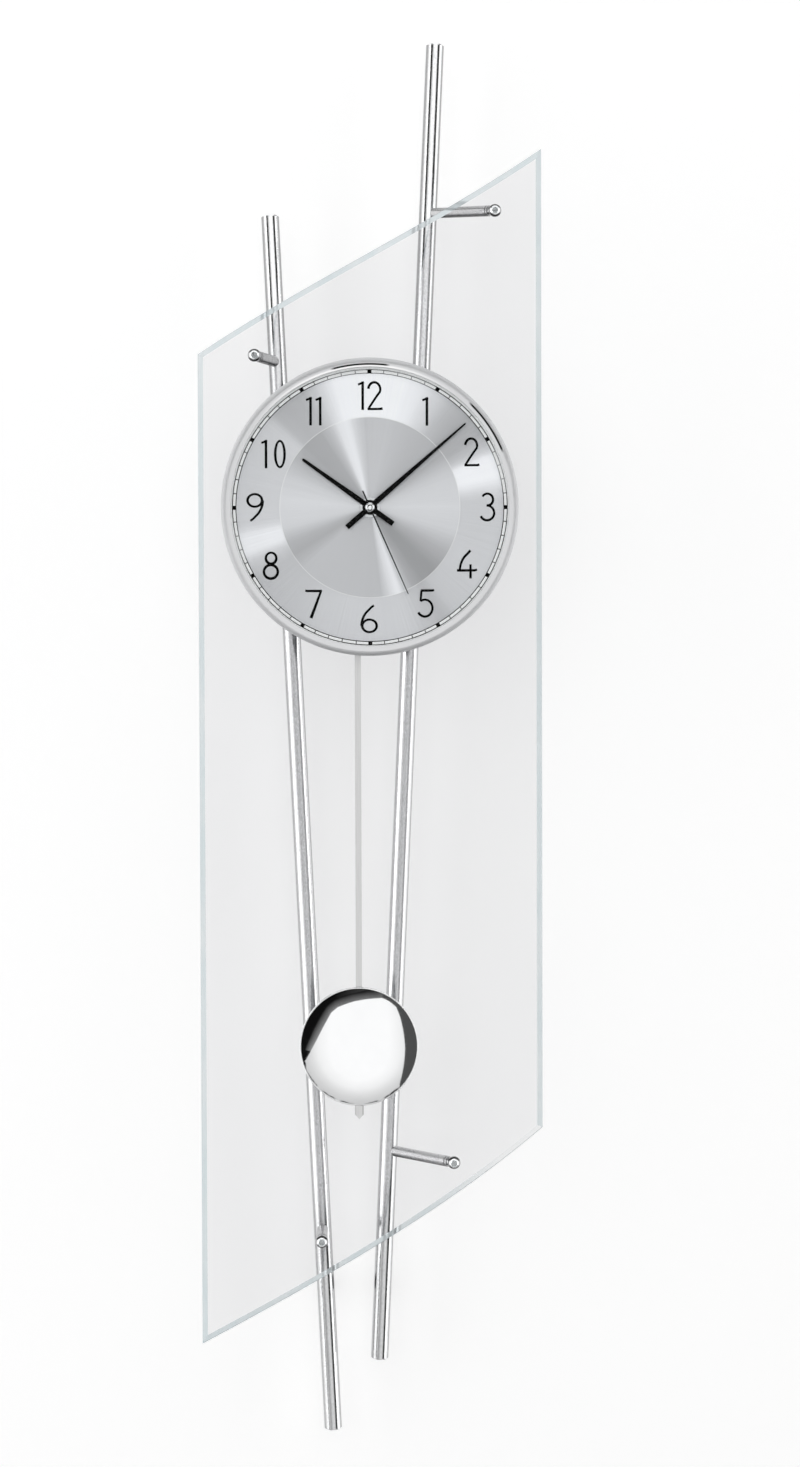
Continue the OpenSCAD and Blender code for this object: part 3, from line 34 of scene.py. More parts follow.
class Tree:
    """The node tree of a new material or world, with short helpers for the nodes used here."""

    def __init__(self, name, world=False):
        self.owner = (bpy.data.worlds if world else bpy.data.materials).new(name)
        self.owner.use_nodes = True
        self.nt = self.owner.node_tree
        self.nt.nodes.clear()
        self.out = self.node("ShaderNodeOutputWorld" if world else "ShaderNodeOutputMaterial")

    def node(self, kind, **props):
        n = self.nt.nodes.new(kind)
        for k, v in props.items():
            setattr(n, k, v)
        return n

    def put(self, socket, value):
        """Links an output to a socket, or sets the socket to a number, vector or colour."""
        if isinstance(value, bpy.types.NodeSocket):
            self.nt.links.new(value, socket)
        elif socket.type == "RGBA" and len(value) == 3:
            socket.default_value = (*value, 1)
        else:
            socket.default_value = value

    def fill(self, node, sockets, out=0):
        """Fills a node's sockets, given by name or place, and returns one of its outputs."""
        for key, value in sockets.items():
            if value is not None:
                self.put(node.inputs[key], value)
        return node.outputs[out]

    # Coordinates

    def coord(self, which="Object"):
        return self.node("ShaderNodeTexCoord").outputs[which]

    def xyz(self, vec=None):
        n = self.node("ShaderNodeSeparateXYZ")
        self.put(n.inputs[0], self.coord() if vec is None else vec)
        return n.outputs[0], n.outputs[1], n.outputs[2]

    def grey(self, colour):
        return self.xyz(colour)[0]

    def join(self, x, y, z):
        return self.fill(self.node("ShaderNodeCombineXYZ"), {0: x, 1: y, 2: z})

    def scaled(self, factors):
        return self.fill(self.node("ShaderNodeMapping"), {"Vector": self.coord(), "Scale": factors})

    # Numbers

    def math(self, op, a, b=None):
        return self.fill(self.node("ShaderNodeMath", operation=op), {0: a, 1: b})

    def add(self, a, b):
        return self.math("ADD", a, b)

    def sub(self, a, b):
        return self.math("SUBTRACT", a, b)

    def mul(self, a, b):
        return self.math("MULTIPLY", a, b)

    def gap(self, a, b):
        """How far two numbers lie apart."""
        return self.math("ABSOLUTE", self.sub(a, b))

    def length(self, a, b):
        return self.math("SQRT", self.add(self.mul(a, a), self.mul(b, b)))

    def span(self, value, lo, hi, to_lo=0.0, to_hi=1.0):
        n = self.node("ShaderNodeMapRange", clamp=True)
        return self.fill(n, {0: value, 1: lo, 2: hi, 3: to_lo, 4: to_hi})

    def noise(self, scale, vec=None, detail=3.0, rough=0.5):
        n = self.node("ShaderNodeTexNoise")
        return self.fill(n, {"Vector": self.coord() if vec is None else vec, "Scale": scale,
                             "Detail": detail, "Roughness": rough})

    def vary(self, noise, lo, hi):
        """A number that runs from lo to hi with a noise."""
        return self.span(noise, *NOISE, lo, hi)

    # Colours

    def ramp(self, value, stops):
        n = self.node("ShaderNodeValToRGB")
        el = n.color_ramp.elements
        while len(el) < len(stops):
            el.new(0.5)
        for e, (place, level) in zip(el, stops):
            e.position = place
            e.color = (level, level, level, 1)
        return self.fill(n, {0: value})

    def mix(self, fac, a, b, way="MIX"):
        n = self.node("ShaderNodeMix", data_type="RGBA", blend_type=way)
        return self.fill(n, {0: fac, 6: a, 7: b}, 2)

    def times(self, colour, value):
        return self.mix(1.0, colour, value, "MULTIPLY")

    def between(self, noise, a, b):
        """A colour that runs from a to b with a noise."""
        return self.mix(self.span(noise, *NOISE), a, b)

    def shaded(self, colour, noise, lo, hi):
        """A colour times a grey that runs from lo to hi with a noise."""
        return self.times(colour, self.ramp(noise, list(zip(NOISE, (lo, hi)))))

    # Surfaces

    def bump(self, height, strength, distance):
        n = self.node("ShaderNodeBump")
        return self.fill(n, {"Strength": strength, "Distance": distance, "Height": height})

    def surface(self, color, metal=0.0, rough=0.5, normal=None, spec=0.5, coat=0.0):
        n = self.node("ShaderNodeBsdfPrincipled")
        return self.fill(n, {"Base Color": color, "Metallic": metal, "Roughness": rough, "Normal": normal,
                             "Specular IOR Level": spec, "Coat Weight": coat})

    def layer(self, kind, **sockets):
        return self.fill(self.node(kind), sockets)

    def blend(self, fac, a, b):
        return self.fill(self.node("ShaderNodeMixShader"), {0: fac, 1: a, 2: b})

    def light_path(self, *kinds):
        """One for rays of any of these kinds, and else zero."""
        path = self.node("ShaderNodeLightPath")
        seen = path.outputs[kinds[0]]
        for kind in kinds[1:]:
            seen = self.math("MAXIMUM", seen, path.outputs[kind])
        return seen

    def done(self, shader):
        self.nt.links.new(shader, self.out.inputs["Surface"])
        return self.owner


def plain(name, light, dark, metal=0.0, rough=0.5, spread=0.06, scale=60.0, grain=900.0, relief=0.00002,
          stretch=(1, 1, 1), spec=0.5):
    """A surface whose colour, roughness and fine relief vary with noise, stretched along a brushing."""
    t = Tree(name)
    v = t.scaled(stretch)
    fine = t.noise(grain, v, 2.0)
    colour = t.between(t.noise(scale, v), dark, light)
    return t.done(t.surface(colour, metal, t.vary(fine, rough - spread, rough + spread),
                            t.bump(fine, 0.5, relief), spec))


# Painted reflections on the tubes round their front, as bright and dark bands, given as pairs of the way
# that the surface faces, from -1 at the left to 1 at the right, and of its brightness: for the tubes' upper
# part, middle and foot
TUBE_HIGH_PAINTED_REFLECTION = [(-1.0, .42), (-.84, .36), (-.66, .56), (-.54, .86), (-.40, 1.0), (-.30, .62), (-.22, .52),
             (-.08, .86), (.16, .98), (.30, .80), (.40, .24), (.50, .32), (.62, .92), (.74, .86),
             (.86, .38), (1.0, .36)]
TUBE_LOW_PAINTED_REFLECTION = [(-1.0, .52), (-.86, .48), (-.70, .74), (-.62, 1.0), (-.32, 1.0), (-.21, .58), (.0, .60),
            (.28, .66), (.38, .42), (.48, .44), (.60, 1.0), (.82, 1.0), (.92, .46), (1.0, .44)]
TUBE_FOOT_PAINTED_REFLECTION = [(-1.0, .56), (-.84, .46), (-.66, .62), (-.46, .74), (-.36, .66), (-.22, .31), (-.10, .36),
             (.04, .54), (.22, .58), (.34, .33), (.44, .40), (.58, .86), (.76, .86), (.90, .46), (1.0, .50)]
# Heights over which one row changes to the other
LOW_TO_HIGH = (-0.06, -0.03)
FOOT_TO_LOW = (-0.45, -0.42)
# Colour level of the tubes' back, which has no painted reflection bands
TUBE_BACK = (0.6, 0.6, 0.6)


def tube_metal(name, rough):
    """Satin steel tube, ground along its length, with fine specks and streaks of brighter polish, and
    painted reflections as bands round its front.
    """
    t = Tree(name)
    nx, ny, nz = t.xyz(t.coord("Normal"))
    turn = t.span(nx, -1.0, 1.0)
    z = t.xyz()[2]
    # Painted reflection bands, by the way the surface faces, changing with height
    foot, low, high = (t.ramp(turn, [((u + 1) / 2, v) for u, v in row])
                       for row in (TUBE_FOOT_PAINTED_REFLECTION, TUBE_LOW_PAINTED_REFLECTION, TUBE_HIGH_PAINTED_REFLECTION))
    painted_bands = t.mix(t.span(z, *LOW_TO_HIGH), t.mix(t.span(z, *FOOT_TO_LOW), foot, low), high)
    painted_bands = t.mix(t.span(ny, -0.05, 0.05), painted_bands, TUBE_BACK)
    long_grain = t.noise(1.0, t.scaled((1500, 1500, 60)), 3.0, 0.6)
    speck = t.noise(1.0, t.scaled((1500, 1500, 700)), 2.0, 0.7)
    shade = t.add(t.vary(long_grain, 0.96, 1.12), t.vary(speck, -0.13, 0.13))
    colour = t.times(t.times((0.985, 0.99, 1.0), painted_bands), shade)
    gloss = t.span(speck, 0.35, 0.65, rough - 0.04, rough + 0.05)
    return t.done(t.surface(colour, 1.0, gloss, t.bump(speck, 0.5, 0.00003)))


def ball_centres():
    """Ball centres of the arms, found from the small flats at their front."""
    found = []
    for name in ("arm_top_left", "arm_low_left", "arms_right"):
        points = [v.co for v in nodes[name].data.vertices]
        front = min(p.y for p in points)
        flats = [p for p in points if p.y < front + 1e-5]
        top, foot = max(p.z for p in flats), min(p.z for p in flats)
        balls = [flats]
        # A node with two arms has two flats, far above each other
        if top - foot > 0.01:
            middle = (top + foot) / 2
            balls = [[p for p in flats if p.z > middle], [p for p in flats if p.z < middle]]
        for ball in balls:
            x = (max(p.x for p in ball) + min(p.x for p in ball)) / 2
            z = (max(p.z for p in ball) + min(p.z for p in ball)) / 2
            found.append((x, front + BALL_R, z))
    return found


# Painted reflection rings on the balls, as pairs of how squarely the surface faces the front and of its
# brightness: above and below the middle, and at the sides
BALL_RIM_PAINTED_REFLECTION = [(0.0, 0.7), (0.26, 0.5), (0.38, 0.04), (0.66, 0.05), (0.76, 0.9), (0.90, 1.0), (0.96, 0.6)]
BALL_SIDE_PAINTED_REFLECTION = [(0.0, 0.8), (0.3, 0.5), (0.5, 0.45), (0.7, 0.95), (0.90, 1.0), (0.96, 0.6)]
# Brightness of the stems from below to above, a painted shade underneath and a painted light on top
STEM_SHADE = [(0.0, 0.25), (0.12, 0.4), (0.25, 1.0), (0.8, 1.0), (1.0, 1.3)]
# Distance from a ball's centre over which it becomes a stem
BALL_TO_STEM = (0.0038, 0.0041)
BALL_ROUGH = (0.04, 0.04, 0.04)
STEM_ROUGH = (0.24, 0.34)


def arm_metal(name):
    """Brushed arm stems with painted shade underneath, and polished balls with painted reflection rings,
    told by the distance from the ball centres.
    """
    t = Tree(name)
    far = None
    for centre in ball_centres():
        d = t.fill(t.node("ShaderNodeVectorMath", operation="DISTANCE"), {0: t.coord(), 1: centre}, "Value")
        far = d if far is None else t.math("MINIMUM", far, d)
    stem = t.span(far, *BALL_TO_STEM)
    nx, ny, nz = t.xyz(t.coord("Normal"))
    grain = t.noise(1.0, t.scaled((2200, 500, 2200)), 3.0, 0.6)
    # Painted shade under the stems and painted light on their tops, by the way they face
    under = t.ramp(t.span(nz, -1.0, 1.0), STEM_SHADE)
    brushed = t.shaded(t.times((0.52, 0.52, 0.525), under), grain, 0.82, 1.08)
    facing = t.mul(ny, -1.0)
    steep = t.span(t.math("ABSOLUTE", nz), 0.25, 0.5)
    # Painted reflection rings on the balls, by how squarely they face the front
    painted_rings = t.mix(steep, t.ramp(facing, BALL_SIDE_PAINTED_REFLECTION), t.ramp(facing, BALL_RIM_PAINTED_REFLECTION))
    colour = t.mix(stem, t.times((0.98, 0.985, 0.99), painted_rings), brushed)
    gloss = t.mix(stem, BALL_ROUGH, t.ramp(grain, list(zip(NOISE, STEM_ROUGH))))
    return t.done(t.surface(colour, 1.0, t.grey(gloss), t.bump(grain, 0.2, 0.00002)))


# Painted highlights of the sunray brushing, bright and dark sectors as lamps make them, as pairs of degrees
# clockwise from twelve and of brightness: on the dial's outer ring and on its raised centre
OUTER_PAINTED_HIGHLIGHTS = [(0, 1.0), (15, 1.0), (24, .94), (32, .83), (38, .66), (46, .56), (57, .57), (62, .70),
              (67, .98), (76, 1.0), (87, .76), (120, .76), (140, .70), (146, .59), (162, .77), (200, .755),
              (218, .69), (238, .65), (244, .74), (250, .95), (257, .95), (263, .80), (290, .78),
              (310, .80), (315, .62), (321, .60), (330, .64), (337, .86), (345, 1.0)]
INNER_PAINTED_HIGHLIGHTS = [(0, .69), (12, .70), (30, .63), (54, .55), (64, .73), (72, .80), (90, .84), (106, .78),
              (120, .56), (134, .41), (144, .42), (152, .52), (157, .78), (161, .94), (167, .85),
              (173, .635), (228, .66), (239, .52), (247, .58), (257, .80), (275, .86), (290, .78),
              (302, .62), (314, .50), (326, .52), (333, .66), (339, .92), (346, .94), (352, .78),
              (357, .68)]
# Brush lines: how many noise cells they take round the axis, and how slowly they change outward
BRUSH_AROUND = 140.0
BRUSH_OUTWARD = 0.004
# Radii in millimetres: where the white minute track and the raised centre's pale edge begin
TRACK_R = 72.5
CENTRE_R = 48.7
# The print of the minute track starts this far inside it, in millimetres
TRACK_MARGIN = 0.6
# Half of an hour block of the minute track, as a share of an hour
BLOCK_SHARE = 0.045
# Where the dial's painted highlight is brighter than the first of these the print gets a painted glare, and
# the fine lines turn grey
GLARE = (0.78, 1.0)
FINE_GREY = (0.38, 0.38, 0.39)


def dial_angle(t):
    """Turn fraction clockwise from twelve, and the distance from the dial axis in millimetres."""
    x, y, z = t.xyz()
    up = t.sub(z, DIAL_Z)
    turn = t.math("FRACT", t.add(t.math("DIVIDE", t.math("ARCTAN2", x, up), 2 * math.pi), 1.0))
    return turn, t.mul(t.length(x, up), 1000.0)


def around(t, turn, stops):
    """The painted highlight that a row of sectors gives at a turn fraction."""
    return t.ramp(turn, [(a / 360, v) for a, v in stops] + [(1.0, stops[0][1])])


def dial_metal(name, stops, track):
    """Silver dial with a sunray brushing and painted highlight sectors on it. Its minute track is white,
    and the edge of its centre is pale.
    """
    t = Tree(name)
    turn, r = dial_angle(t)
    # Painted highlight sectors, by the turn round the axis
    base = around(t, turn, stops)
    angle = t.mul(turn, 2 * math.pi)
    place = t.join(t.mul(t.math("SINE", angle), BRUSH_AROUND), t.mul(t.math("COSINE", angle), BRUSH_AROUND),
                   t.mul(r, BRUSH_OUTWARD))
    line = t.noise(1.0, place, 4.0, 0.65)
    colour = t.times((0.97, 0.97, 1.0), t.shaded(base, line, 0.95, 1.05))
    metal = t.span(t.grey(base), 0.85, 1.0, 0.55, 0.95)
    if track:
        white = t.math("GREATER_THAN", r, TRACK_R)
        colour = t.mix(white, colour, WHITE)
        metal = t.math("MAXIMUM", metal, t.mul(white, 0.95))
    else:
        pale = t.mix(0.6, colour, WHITE)
        colour = t.mix(t.math("GREATER_THAN", r, CENTRE_R), colour, pale)
    return t.done(t.surface(colour, metal, t.vary(line, 0.36, 0.46), t.bump(line, 0.25, 0.00002), 0.3))


def dial_ink():
    """Black print. The fine lines of the minute track are painted grey where the dial's painted highlight
    glares.
    """
    t = Tree("dial_ink")
    turn, r = dial_angle(t)
    glare = t.span(t.grey(around(t, turn, OUTER_PAINTED_HIGHLIGHTS)), *GLARE)
    hour = t.gap(t.math("FRACT", t.add(t.mul(turn, 12), 0.5)), 0.5)
    on_track = t.math("GREATER_THAN", r, TRACK_R - TRACK_MARGIN)
    fine = t.mul(t.math("GREATER_THAN", hour, BLOCK_SHARE), on_track)
    grain = t.noise(600.0)
    black = t.between(grain, (0.002, 0.002, 0.002), (0.004, 0.004, 0.004))
    # Painted glare: fine lines turn grey where the painted highlight is bright
    colour = t.mix(t.mul(glare, fine), black, FINE_GREY)
    return t.done(t.surface(colour, rough=t.vary(grain, 0.55, 0.65), spec=0.02))


# The right half of the glass panel's lower edge is painted paler and less frosted, a painted light, from
# between these places
PAINTED_PALE_EDGE = (0.03, 0.07)
# How squarely the panel's large faces face the front or the back, which no facet does
FLAT = 0.99


def panel_glass():
    """Clear float glass. Its ground facets and edges, told by the way they face, are pale blue green."""
    t = Tree("panel_glass")
    nx, ny, nz = t.xyz(t.node("ShaderNodeNewGeometry").outputs["True Normal"])
    flat = t.math("GREATER_THAN", t.math("ABSOLUTE", ny), FLAT)
    body = t.between(t.noise(4.0), (0.940, 0.940, 0.942), (0.930, 0.930, 0.934))
    grind = t.noise(120.0, t.scaled((1, 1, 0.3)), 2.0)
    edge = t.between(grind, (0.84, 0.92, 0.94), (0.90, 0.96, 0.97))
    # Painted light: the right half of the lower edge is paler and less frosted
    light = t.mul(t.span(t.xyz()[0], *PAINTED_PALE_EDGE), t.math("LESS_THAN", nz, -0.05))
    colour = t.mix(flat, t.mix(light, edge, (0.985, 0.99, 0.99)), body)
    # Seen nearly square on, the panel lets light through without a mirror image of the room
    bend = t.layer("ShaderNodeBsdfRefraction", Color=colour, Roughness=0.0, IOR=GLASS_IOR)
    glass = t.layer("ShaderNodeBsdfGlass", Color=colour, Roughness=0.0, IOR=GLASS_IOR)
    slant = t.layer("ShaderNodeFresnel", IOR=GLASS_IOR)
    panel = t.blend(t.span(slant, 0.08, 0.3), bend, glass)
    # The ground edges also scatter light
    frost = t.layer("ShaderNodeBsdfDiffuse", Color=t.between(grind, (0.80, 0.88, 0.91), (0.92, 0.95, 0.97)))
    ground = t.mul(t.sub(1.0, flat), t.span(light, 0.0, 1.0, 0.5, 0.15))
    panel = t.blend(ground, panel, frost)
    tint = t.mix(flat, (0.82, 0.88, 0.89), (0.965, 0.966, 0.966))
    clear = t.layer("ShaderNodeBsdfTransparent", Color=tint)
    return t.done(t.blend(t.light_path("Is Shadow Ray", "Is Diffuse Ray"), panel, clear))


def thin_clear(name, tint, gloss):
    """Thin clear glass with an anti reflection coat, or a clear bond."""
    t = Tree(name)
    paler = tuple(min(1.0, c + 0.01) for c in tint)
    clear = t.layer("ShaderNodeBsdfTransparent", Color=t.mix(t.noise(30.0), tint, paler))
    shine = t.layer("ShaderNodeBsdfGlossy", Roughness=0.02)
    slant = t.layer("ShaderNodeFresnel", IOR=1.45)
    fac = t.mul(t.mul(slant, gloss), t.sub(1.0, t.light_path("Is Shadow Ray")))
    return t.done(t.blend(fac, clear, shine))


def hazed(t, colour):
    """A plating's colour with a faint haze."""
    return t.shaded(colour, t.noise(40.0), 0.97, 1.0)


def hairlines(t, rough):
    """A plating's roughness with fine lines round it."""
    return t.span(t.noise(1.0, t.scaled((300, 300, 2500)), 2.0), 0.35, 0.65, rough, rough + 0.03)


def polished(name, colour, rough):
    """Polished plating with a faint haze and hairlines."""
    t = Tree(name)
    return t.done(t.surface(hazed(t, colour), 1.0, hairlines(t, rough)))


# Painted reflections of dark gaps of the studio in the bezel, as dark arcs: the turn at their middle,
# half their length in turns, and their radius and half their width in millimetres
BEZEL_PAINTED_GAPS = [(0.9895, 0.034, 76.7, 0.6), (0.1555, 0.034, 77.5, 0.65)]
# Colour of the painted dark arcs
PAINTED_GAP_DARK = (0.02, 0.02, 0.02)
# The bezel's painted highlight, a pale upper part: its middle as a turn, the turns over which it
# fades on either side, and the radii in millimetres over which it fades outward
BEZEL_PAINTED_TOP = 0.98
TOP_REACH = (0.05, 0.13)
TOP_R = (76.0, 76.8)
# Radii in millimetres over which the bezel becomes its duller outer rim
BEZEL_RIM = (77.9, 78.3)


def bezel_metal(name, colour, rough):
    """Satin chrome ring with painted reflections of two dark gaps of the studio, as thin arcs at its top
    and its right, and a painted highlight at its top.
    """
    t = Tree(name)
    turn, r = dial_angle(t)

    def away(middle):
        """Turns from a middle, the shorter way round."""
        return t.gap(t.math("FRACT", t.add(turn, 1.5 - middle)), 0.5)

    dark = None
    # Painted reflections of the dark gaps, as dark arcs
    for middle, reach, radius, half in BEZEL_PAINTED_GAPS:
        gap = t.mul(t.span(away(middle), 0.85 * reach, reach, 1.0, 0.0),
                    t.span(t.gap(r, radius), 0.6 * half, half, 1.0, 0.0))
        dark = gap if dark is None else t.math("MAXIMUM", dark, gap)
    # Painted highlight on the bezel's upper part
    top = t.mul(t.span(away(BEZEL_PAINTED_TOP), *TOP_REACH, 1.0, 0.0), t.span(r, *TOP_R, 1.0, 0.0))
    shade = t.mix(dark, t.mix(top, hazed(t, colour), WHITE), PAINTED_GAP_DARK)
    rim = t.span(r, *BEZEL_RIM)
    gloss = t.add(hairlines(t, rough), t.mul(rim, 0.3))
    return t.done(t.surface(t.times(shade, t.ramp(rim, [(0.0, 1.0), (1.0, 1.06)])), 1.0, gloss))


# Width of the painted shade along the edges of the pendulum rod, and its brightness at the left and the
# right.
# The edges are read this far below the dial axis, where the strip is straight.
ROD_SHADED_EDGE = 0.0006
ROD_EDGE_SHADE = (0.72, 0.45)
ROD_BELOW = 0.2


def rod_metal(name):
    """Satin strip with painted shade along its edges."""
    t = Tree(name)
    xs = [v.co.x for v in nodes["pendulum_rod"].data.vertices if v.co.z < DIAL_Z - ROD_BELOW]
    low, high = min(xs), max(xs)
    x = t.xyz()[0]
    grain = t.noise(1.0, t.scaled((1500, 1500, 80)), 3.0)
    # Painted shade along the rod's left and right edges
    left = t.span(x, low + ROD_SHADED_EDGE * 0.6, low + ROD_SHADED_EDGE, ROD_EDGE_SHADE[0], 1.0)
    right = t.span(x, high - ROD_SHADED_EDGE, high - ROD_SHADED_EDGE * 0.6, 1.0, ROD_EDGE_SHADE[1])
    shade = t.mul(t.mul(left, right), t.vary(grain, 0.94, 1.04))
    return t.done(t.surface(t.times((0.62, 0.62, 0.62), shade), 1.0, t.vary(grain, 0.30, 0.40)))


WIRE_PITCH = 0.0004


def wound(name, axis):
    """Enamelled copper wire, in turns along an axis, with painted shade between the turns."""
    t = Tree(name)
    turns = t.math("SINE", t.mul(t.xyz()[axis], 2 * math.pi / WIRE_PITCH))
    # Painted shade in the grooves between the turns, and painted light on their tops
    colour = t.mix(t.span(turns, -1, 1), (0.30, 0.10, 0.03), (0.75, 0.33, 0.12))
    colour = t.shaded(colour, t.noise(300.0), 0.85, 1.05)
    return t.done(t.surface(colour, 0.7, 0.35, t.bump(turns, 0.6, 0.0001)))


# Distance between the circuit board's tracks, and how far they lean
BOARD_PITCH = 0.0016
BOARD_LEAN = 0.35


def board():
    """Green solder resist with fine tracks and tinned pads."""
    t = Tree("board")
    x, y, z = t.xyz()
    lines = t.math("SINE", t.mul(t.add(x, t.mul(z, BOARD_LEAN)), 2 * math.pi / BOARD_PITCH))
    cell = t.fill(t.node("ShaderNodeTexVoronoi"), {"Vector": t.coord(), "Scale": 420.0}, "Distance")
    pad = t.math("LESS_THAN", cell, 0.16)
    colour = t.mix(t.math("GREATER_THAN", lines, 0.55), (0.010, 0.11, 0.05), (0.03, 0.24, 0.11))
    colour = t.mix(pad, colour, (0.72, 0.72, 0.70))
    return t.done(t.surface(colour, t.mul(pad, 0.8), 0.35, coat=0.3))


# Places along the battery where its light end and its steel nub begin
LIGHT_END_X = 0.0115
NUB_X = 0.02425


def sleeve():
    """Plain battery sleeve, dark with a light end."""
    t = Tree("sleeve")
    x = t.xyz()[0]
    nub = t.math("GREATER_THAN", x, NUB_X)
    colour = t.mix(t.math("GREATER_THAN", x, LIGHT_END_X), (0.035, 0.036, 0.04), (0.62, 0.50, 0.28))
    colour = t.mix(nub, t.shaded(colour, t.noise(70.0), 0.9, 1.05), (0.7, 0.7, 0.7))
    return t.done(t.surface(colour, t.mul(nub, 0.9), 0.32, coat=0.2))


def dress(material, *names):
    """Puts a material on every slot of these nodes."""
    for name in names:
        slots = nodes[name].material_slots
        if not slots:
            nodes[name].data.materials.append(material)
        for s in slots:
            s.material = material


# Glass, tubes and what holds them
dress(panel_glass(), "glass_panel")
dress(thin_clear("clear_bond", (0.95, 0.96, 0.96), 0.5), "bond_pads")
dress(tube_metal("tube_satin", 0.15), "tube_left", "tube_right", "tube_end_plugs")
dress(arm_metal("arm_steel"), "arm_top_left", "arm_low_left", "arms_right")
dress(plain("screw_steel", (0.52, 0.53, 0.55), (0.42, 0.43, 0.45), 1.0, 0.33, 0.05),
      "arm_studs", "crossbar_screws", "hanger_screws", "case_screws")
dress(plain("bar_lacquer", (0.62, 0.63, 0.64), (0.58, 0.59, 0.60), 0.5, 0.42, 0.05, 90, 1200),
      "upper_crossbar", "lower_crossbar")
dress(plain("zinc_sheet", (0.66, 0.68, 0.72), (0.56, 0.58, 0.62), 1.0, 0.36, 0.08, 250, 900),
      "hanger_plate")
dress(plain("black_rubber", (0.050, 0.050, 0.050), (0.030, 0.030, 0.030), 0.0, 0.72, 0.06, 200, 1500,
            0.00004, spec=0.3), "wall_buffers", "dial_washer")

# Case, dial and hands
dress(plain("case_lacquer", (0.64, 0.65, 0.66), (0.60, 0.61, 0.62), 0.6, 0.38, 0.04, 80, 1500), "case_back")
dress(plain("spacer_alu", (0.74, 0.75, 0.76), (0.66, 0.67, 0.68), 1.0, 0.30, 0.05, 150, 1500,
            0.00002, (1, 40, 1)), "case_spacers")
dress(bezel_metal("bezel_chrome", (0.70, 0.705, 0.715), 0.36), "bezel")
dress(thin_clear("crystal_glass", (0.985, 0.99, 0.99), 0.06), "crystal")
dress(plain("ring_white", (0.86, 0.865, 0.87), (0.82, 0.825, 0.83), 0.0, 0.45, 0.05), "spacer_ring")
dress(dial_metal("dial_silver", OUTER_PAINTED_HIGHLIGHTS, True), "dial_plate")
dress(dial_metal("dial_inner", INNER_PAINTED_HIGHLIGHTS, False), "dial_centre")
dress(dial_ink(), "dial_print")
dress(plain("nut_steel", (0.62, 0.63, 0.64), (0.54, 0.55, 0.56), 1.0, 0.25, 0.05, 400, 2000), "dial_nut")
dress(plain("hand_black", (0.004, 0.004, 0.004), (0.002, 0.002, 0.002), 0.0, 0.5, 0.05, spec=0.04),
      "hour_hand", "minute_hand", "second_hand")
dress(polished("cap_chrome", (0.85, 0.855, 0.86), 0.08), "hub_cap")

# Movement
dress(plain("housing_plastic", (0.030, 0.032, 0.034), (0.020, 0.021, 0.022), 0.0, 0.52, 0.06, 150, 2200,
            0.00003), "movement_back", "movement_cover", "drive_housing")
dress(plain("brass_sheet", (0.80, 0.62, 0.30), (0.70, 0.53, 0.25), 1.0, 0.30, 0.06, 200, 1500),
      "train_bridge", "battery_contacts", "pivot_pin")
dress(plain("motor_steel", (0.58, 0.59, 0.61), (0.48, 0.49, 0.51), 1.0, 0.34, 0.06, 300, 1800),
      "seconds_stator", "minutes_stator")
dress(wound("copper_turns_z", 2), "seconds_coil", "minutes_coil")
dress(wound("copper_turns_x", 0), "antenna_coil")
dress(wound("copper_turns_y", 1), "drive_coil")
dress(plain("magnet_grey", (0.22, 0.22, 0.23), (0.16, 0.16, 0.17), 0.8, 0.45, 0.08, 300, 1500),
      "seconds_rotor", "minutes_rotor", "pendulum_magnet")
dress(plain("gear_plastic", (0.86, 0.84, 0.78), (0.80, 0.78, 0.72), 0.0, 0.42, 0.06, 200, 1800),
      "seconds_idler", "minutes_idler", "seconds_wheel", "minute_wheel", "changing_wheel", "hour_wheel",
      "pendulum_hanger")
dress(board(), "circuit_board")
dress(plain("ferrite_black", (0.060, 0.060, 0.063), (0.035, 0.035, 0.038), 0.2, 0.55, 0.1, 400, 1500,
            0.00005), "ferrite_rod")
dress(sleeve(), "battery")
dress(plain("button_plastic", (0.42, 0.43, 0.44), (0.36, 0.37, 0.38), 0.0, 0.45, 0.05),
      "set_button", "reset_button")

# Pendulum
dress(rod_metal("rod_steel"), "pendulum_rod")
dress(polished("bob_chrome", (0.90, 0.905, 0.91), 0.03), "bob_front")
dress(plain("bob_steel", (0.66, 0.67, 0.68), (0.58, 0.59, 0.60), 1.0, 0.30, 0.06, 60, 1400,
            0.00002, (1, 1, 0.2)), "bob_back")


def staged(name, corners, faces, material):
    """A mesh of the studio, which isn't part of the clock."""
    me = bpy.data.meshes.new(name)
    me.from_pydata(corners, [], faces)
    me.materials.append(material)
    ob = bpy.data.objects.new(name, me)
    scene.collection.objects.link(ob)
    return ob


# Wall and floor: half their width, the wall just behind the clock, and how far they reach
ROOM_X = 1.6
WALL_Y = 0.0006
WALL_TOP = 1.35
FLOOR_Z = -1.25
FLOOR_FRONT = -2.2
ROOM_GREY = (0.55, 0.55, 0.55)
ROOM_GLOW = 0.66


def backdrop_paint(name, colour, own):
    """Pale paint, seen as white by camera, glossy and transmission rays, clear from behind."""
    t = Tree(name)
    mottle = t.mix(t.noise(3.0), colour, tuple(c * 0.995 for c in colour))
    paint = t.layer("ShaderNodeBsdfDiffuse", Color=mottle)
    seen = t.light_path("Is Camera Ray", "Is Glossy Ray", "Is Transmission Ray")
    glow = t.layer("ShaderNodeEmission", Strength=t.mul(seen, own))
    both = t.fill(t.node("ShaderNodeAddShader"), {0: paint, 1: glow})
    clear = t.layer("ShaderNodeBsdfTransparent")
    return t.done(t.blend(t.node("ShaderNodeNewGeometry").outputs["Backfacing"], both, clear))


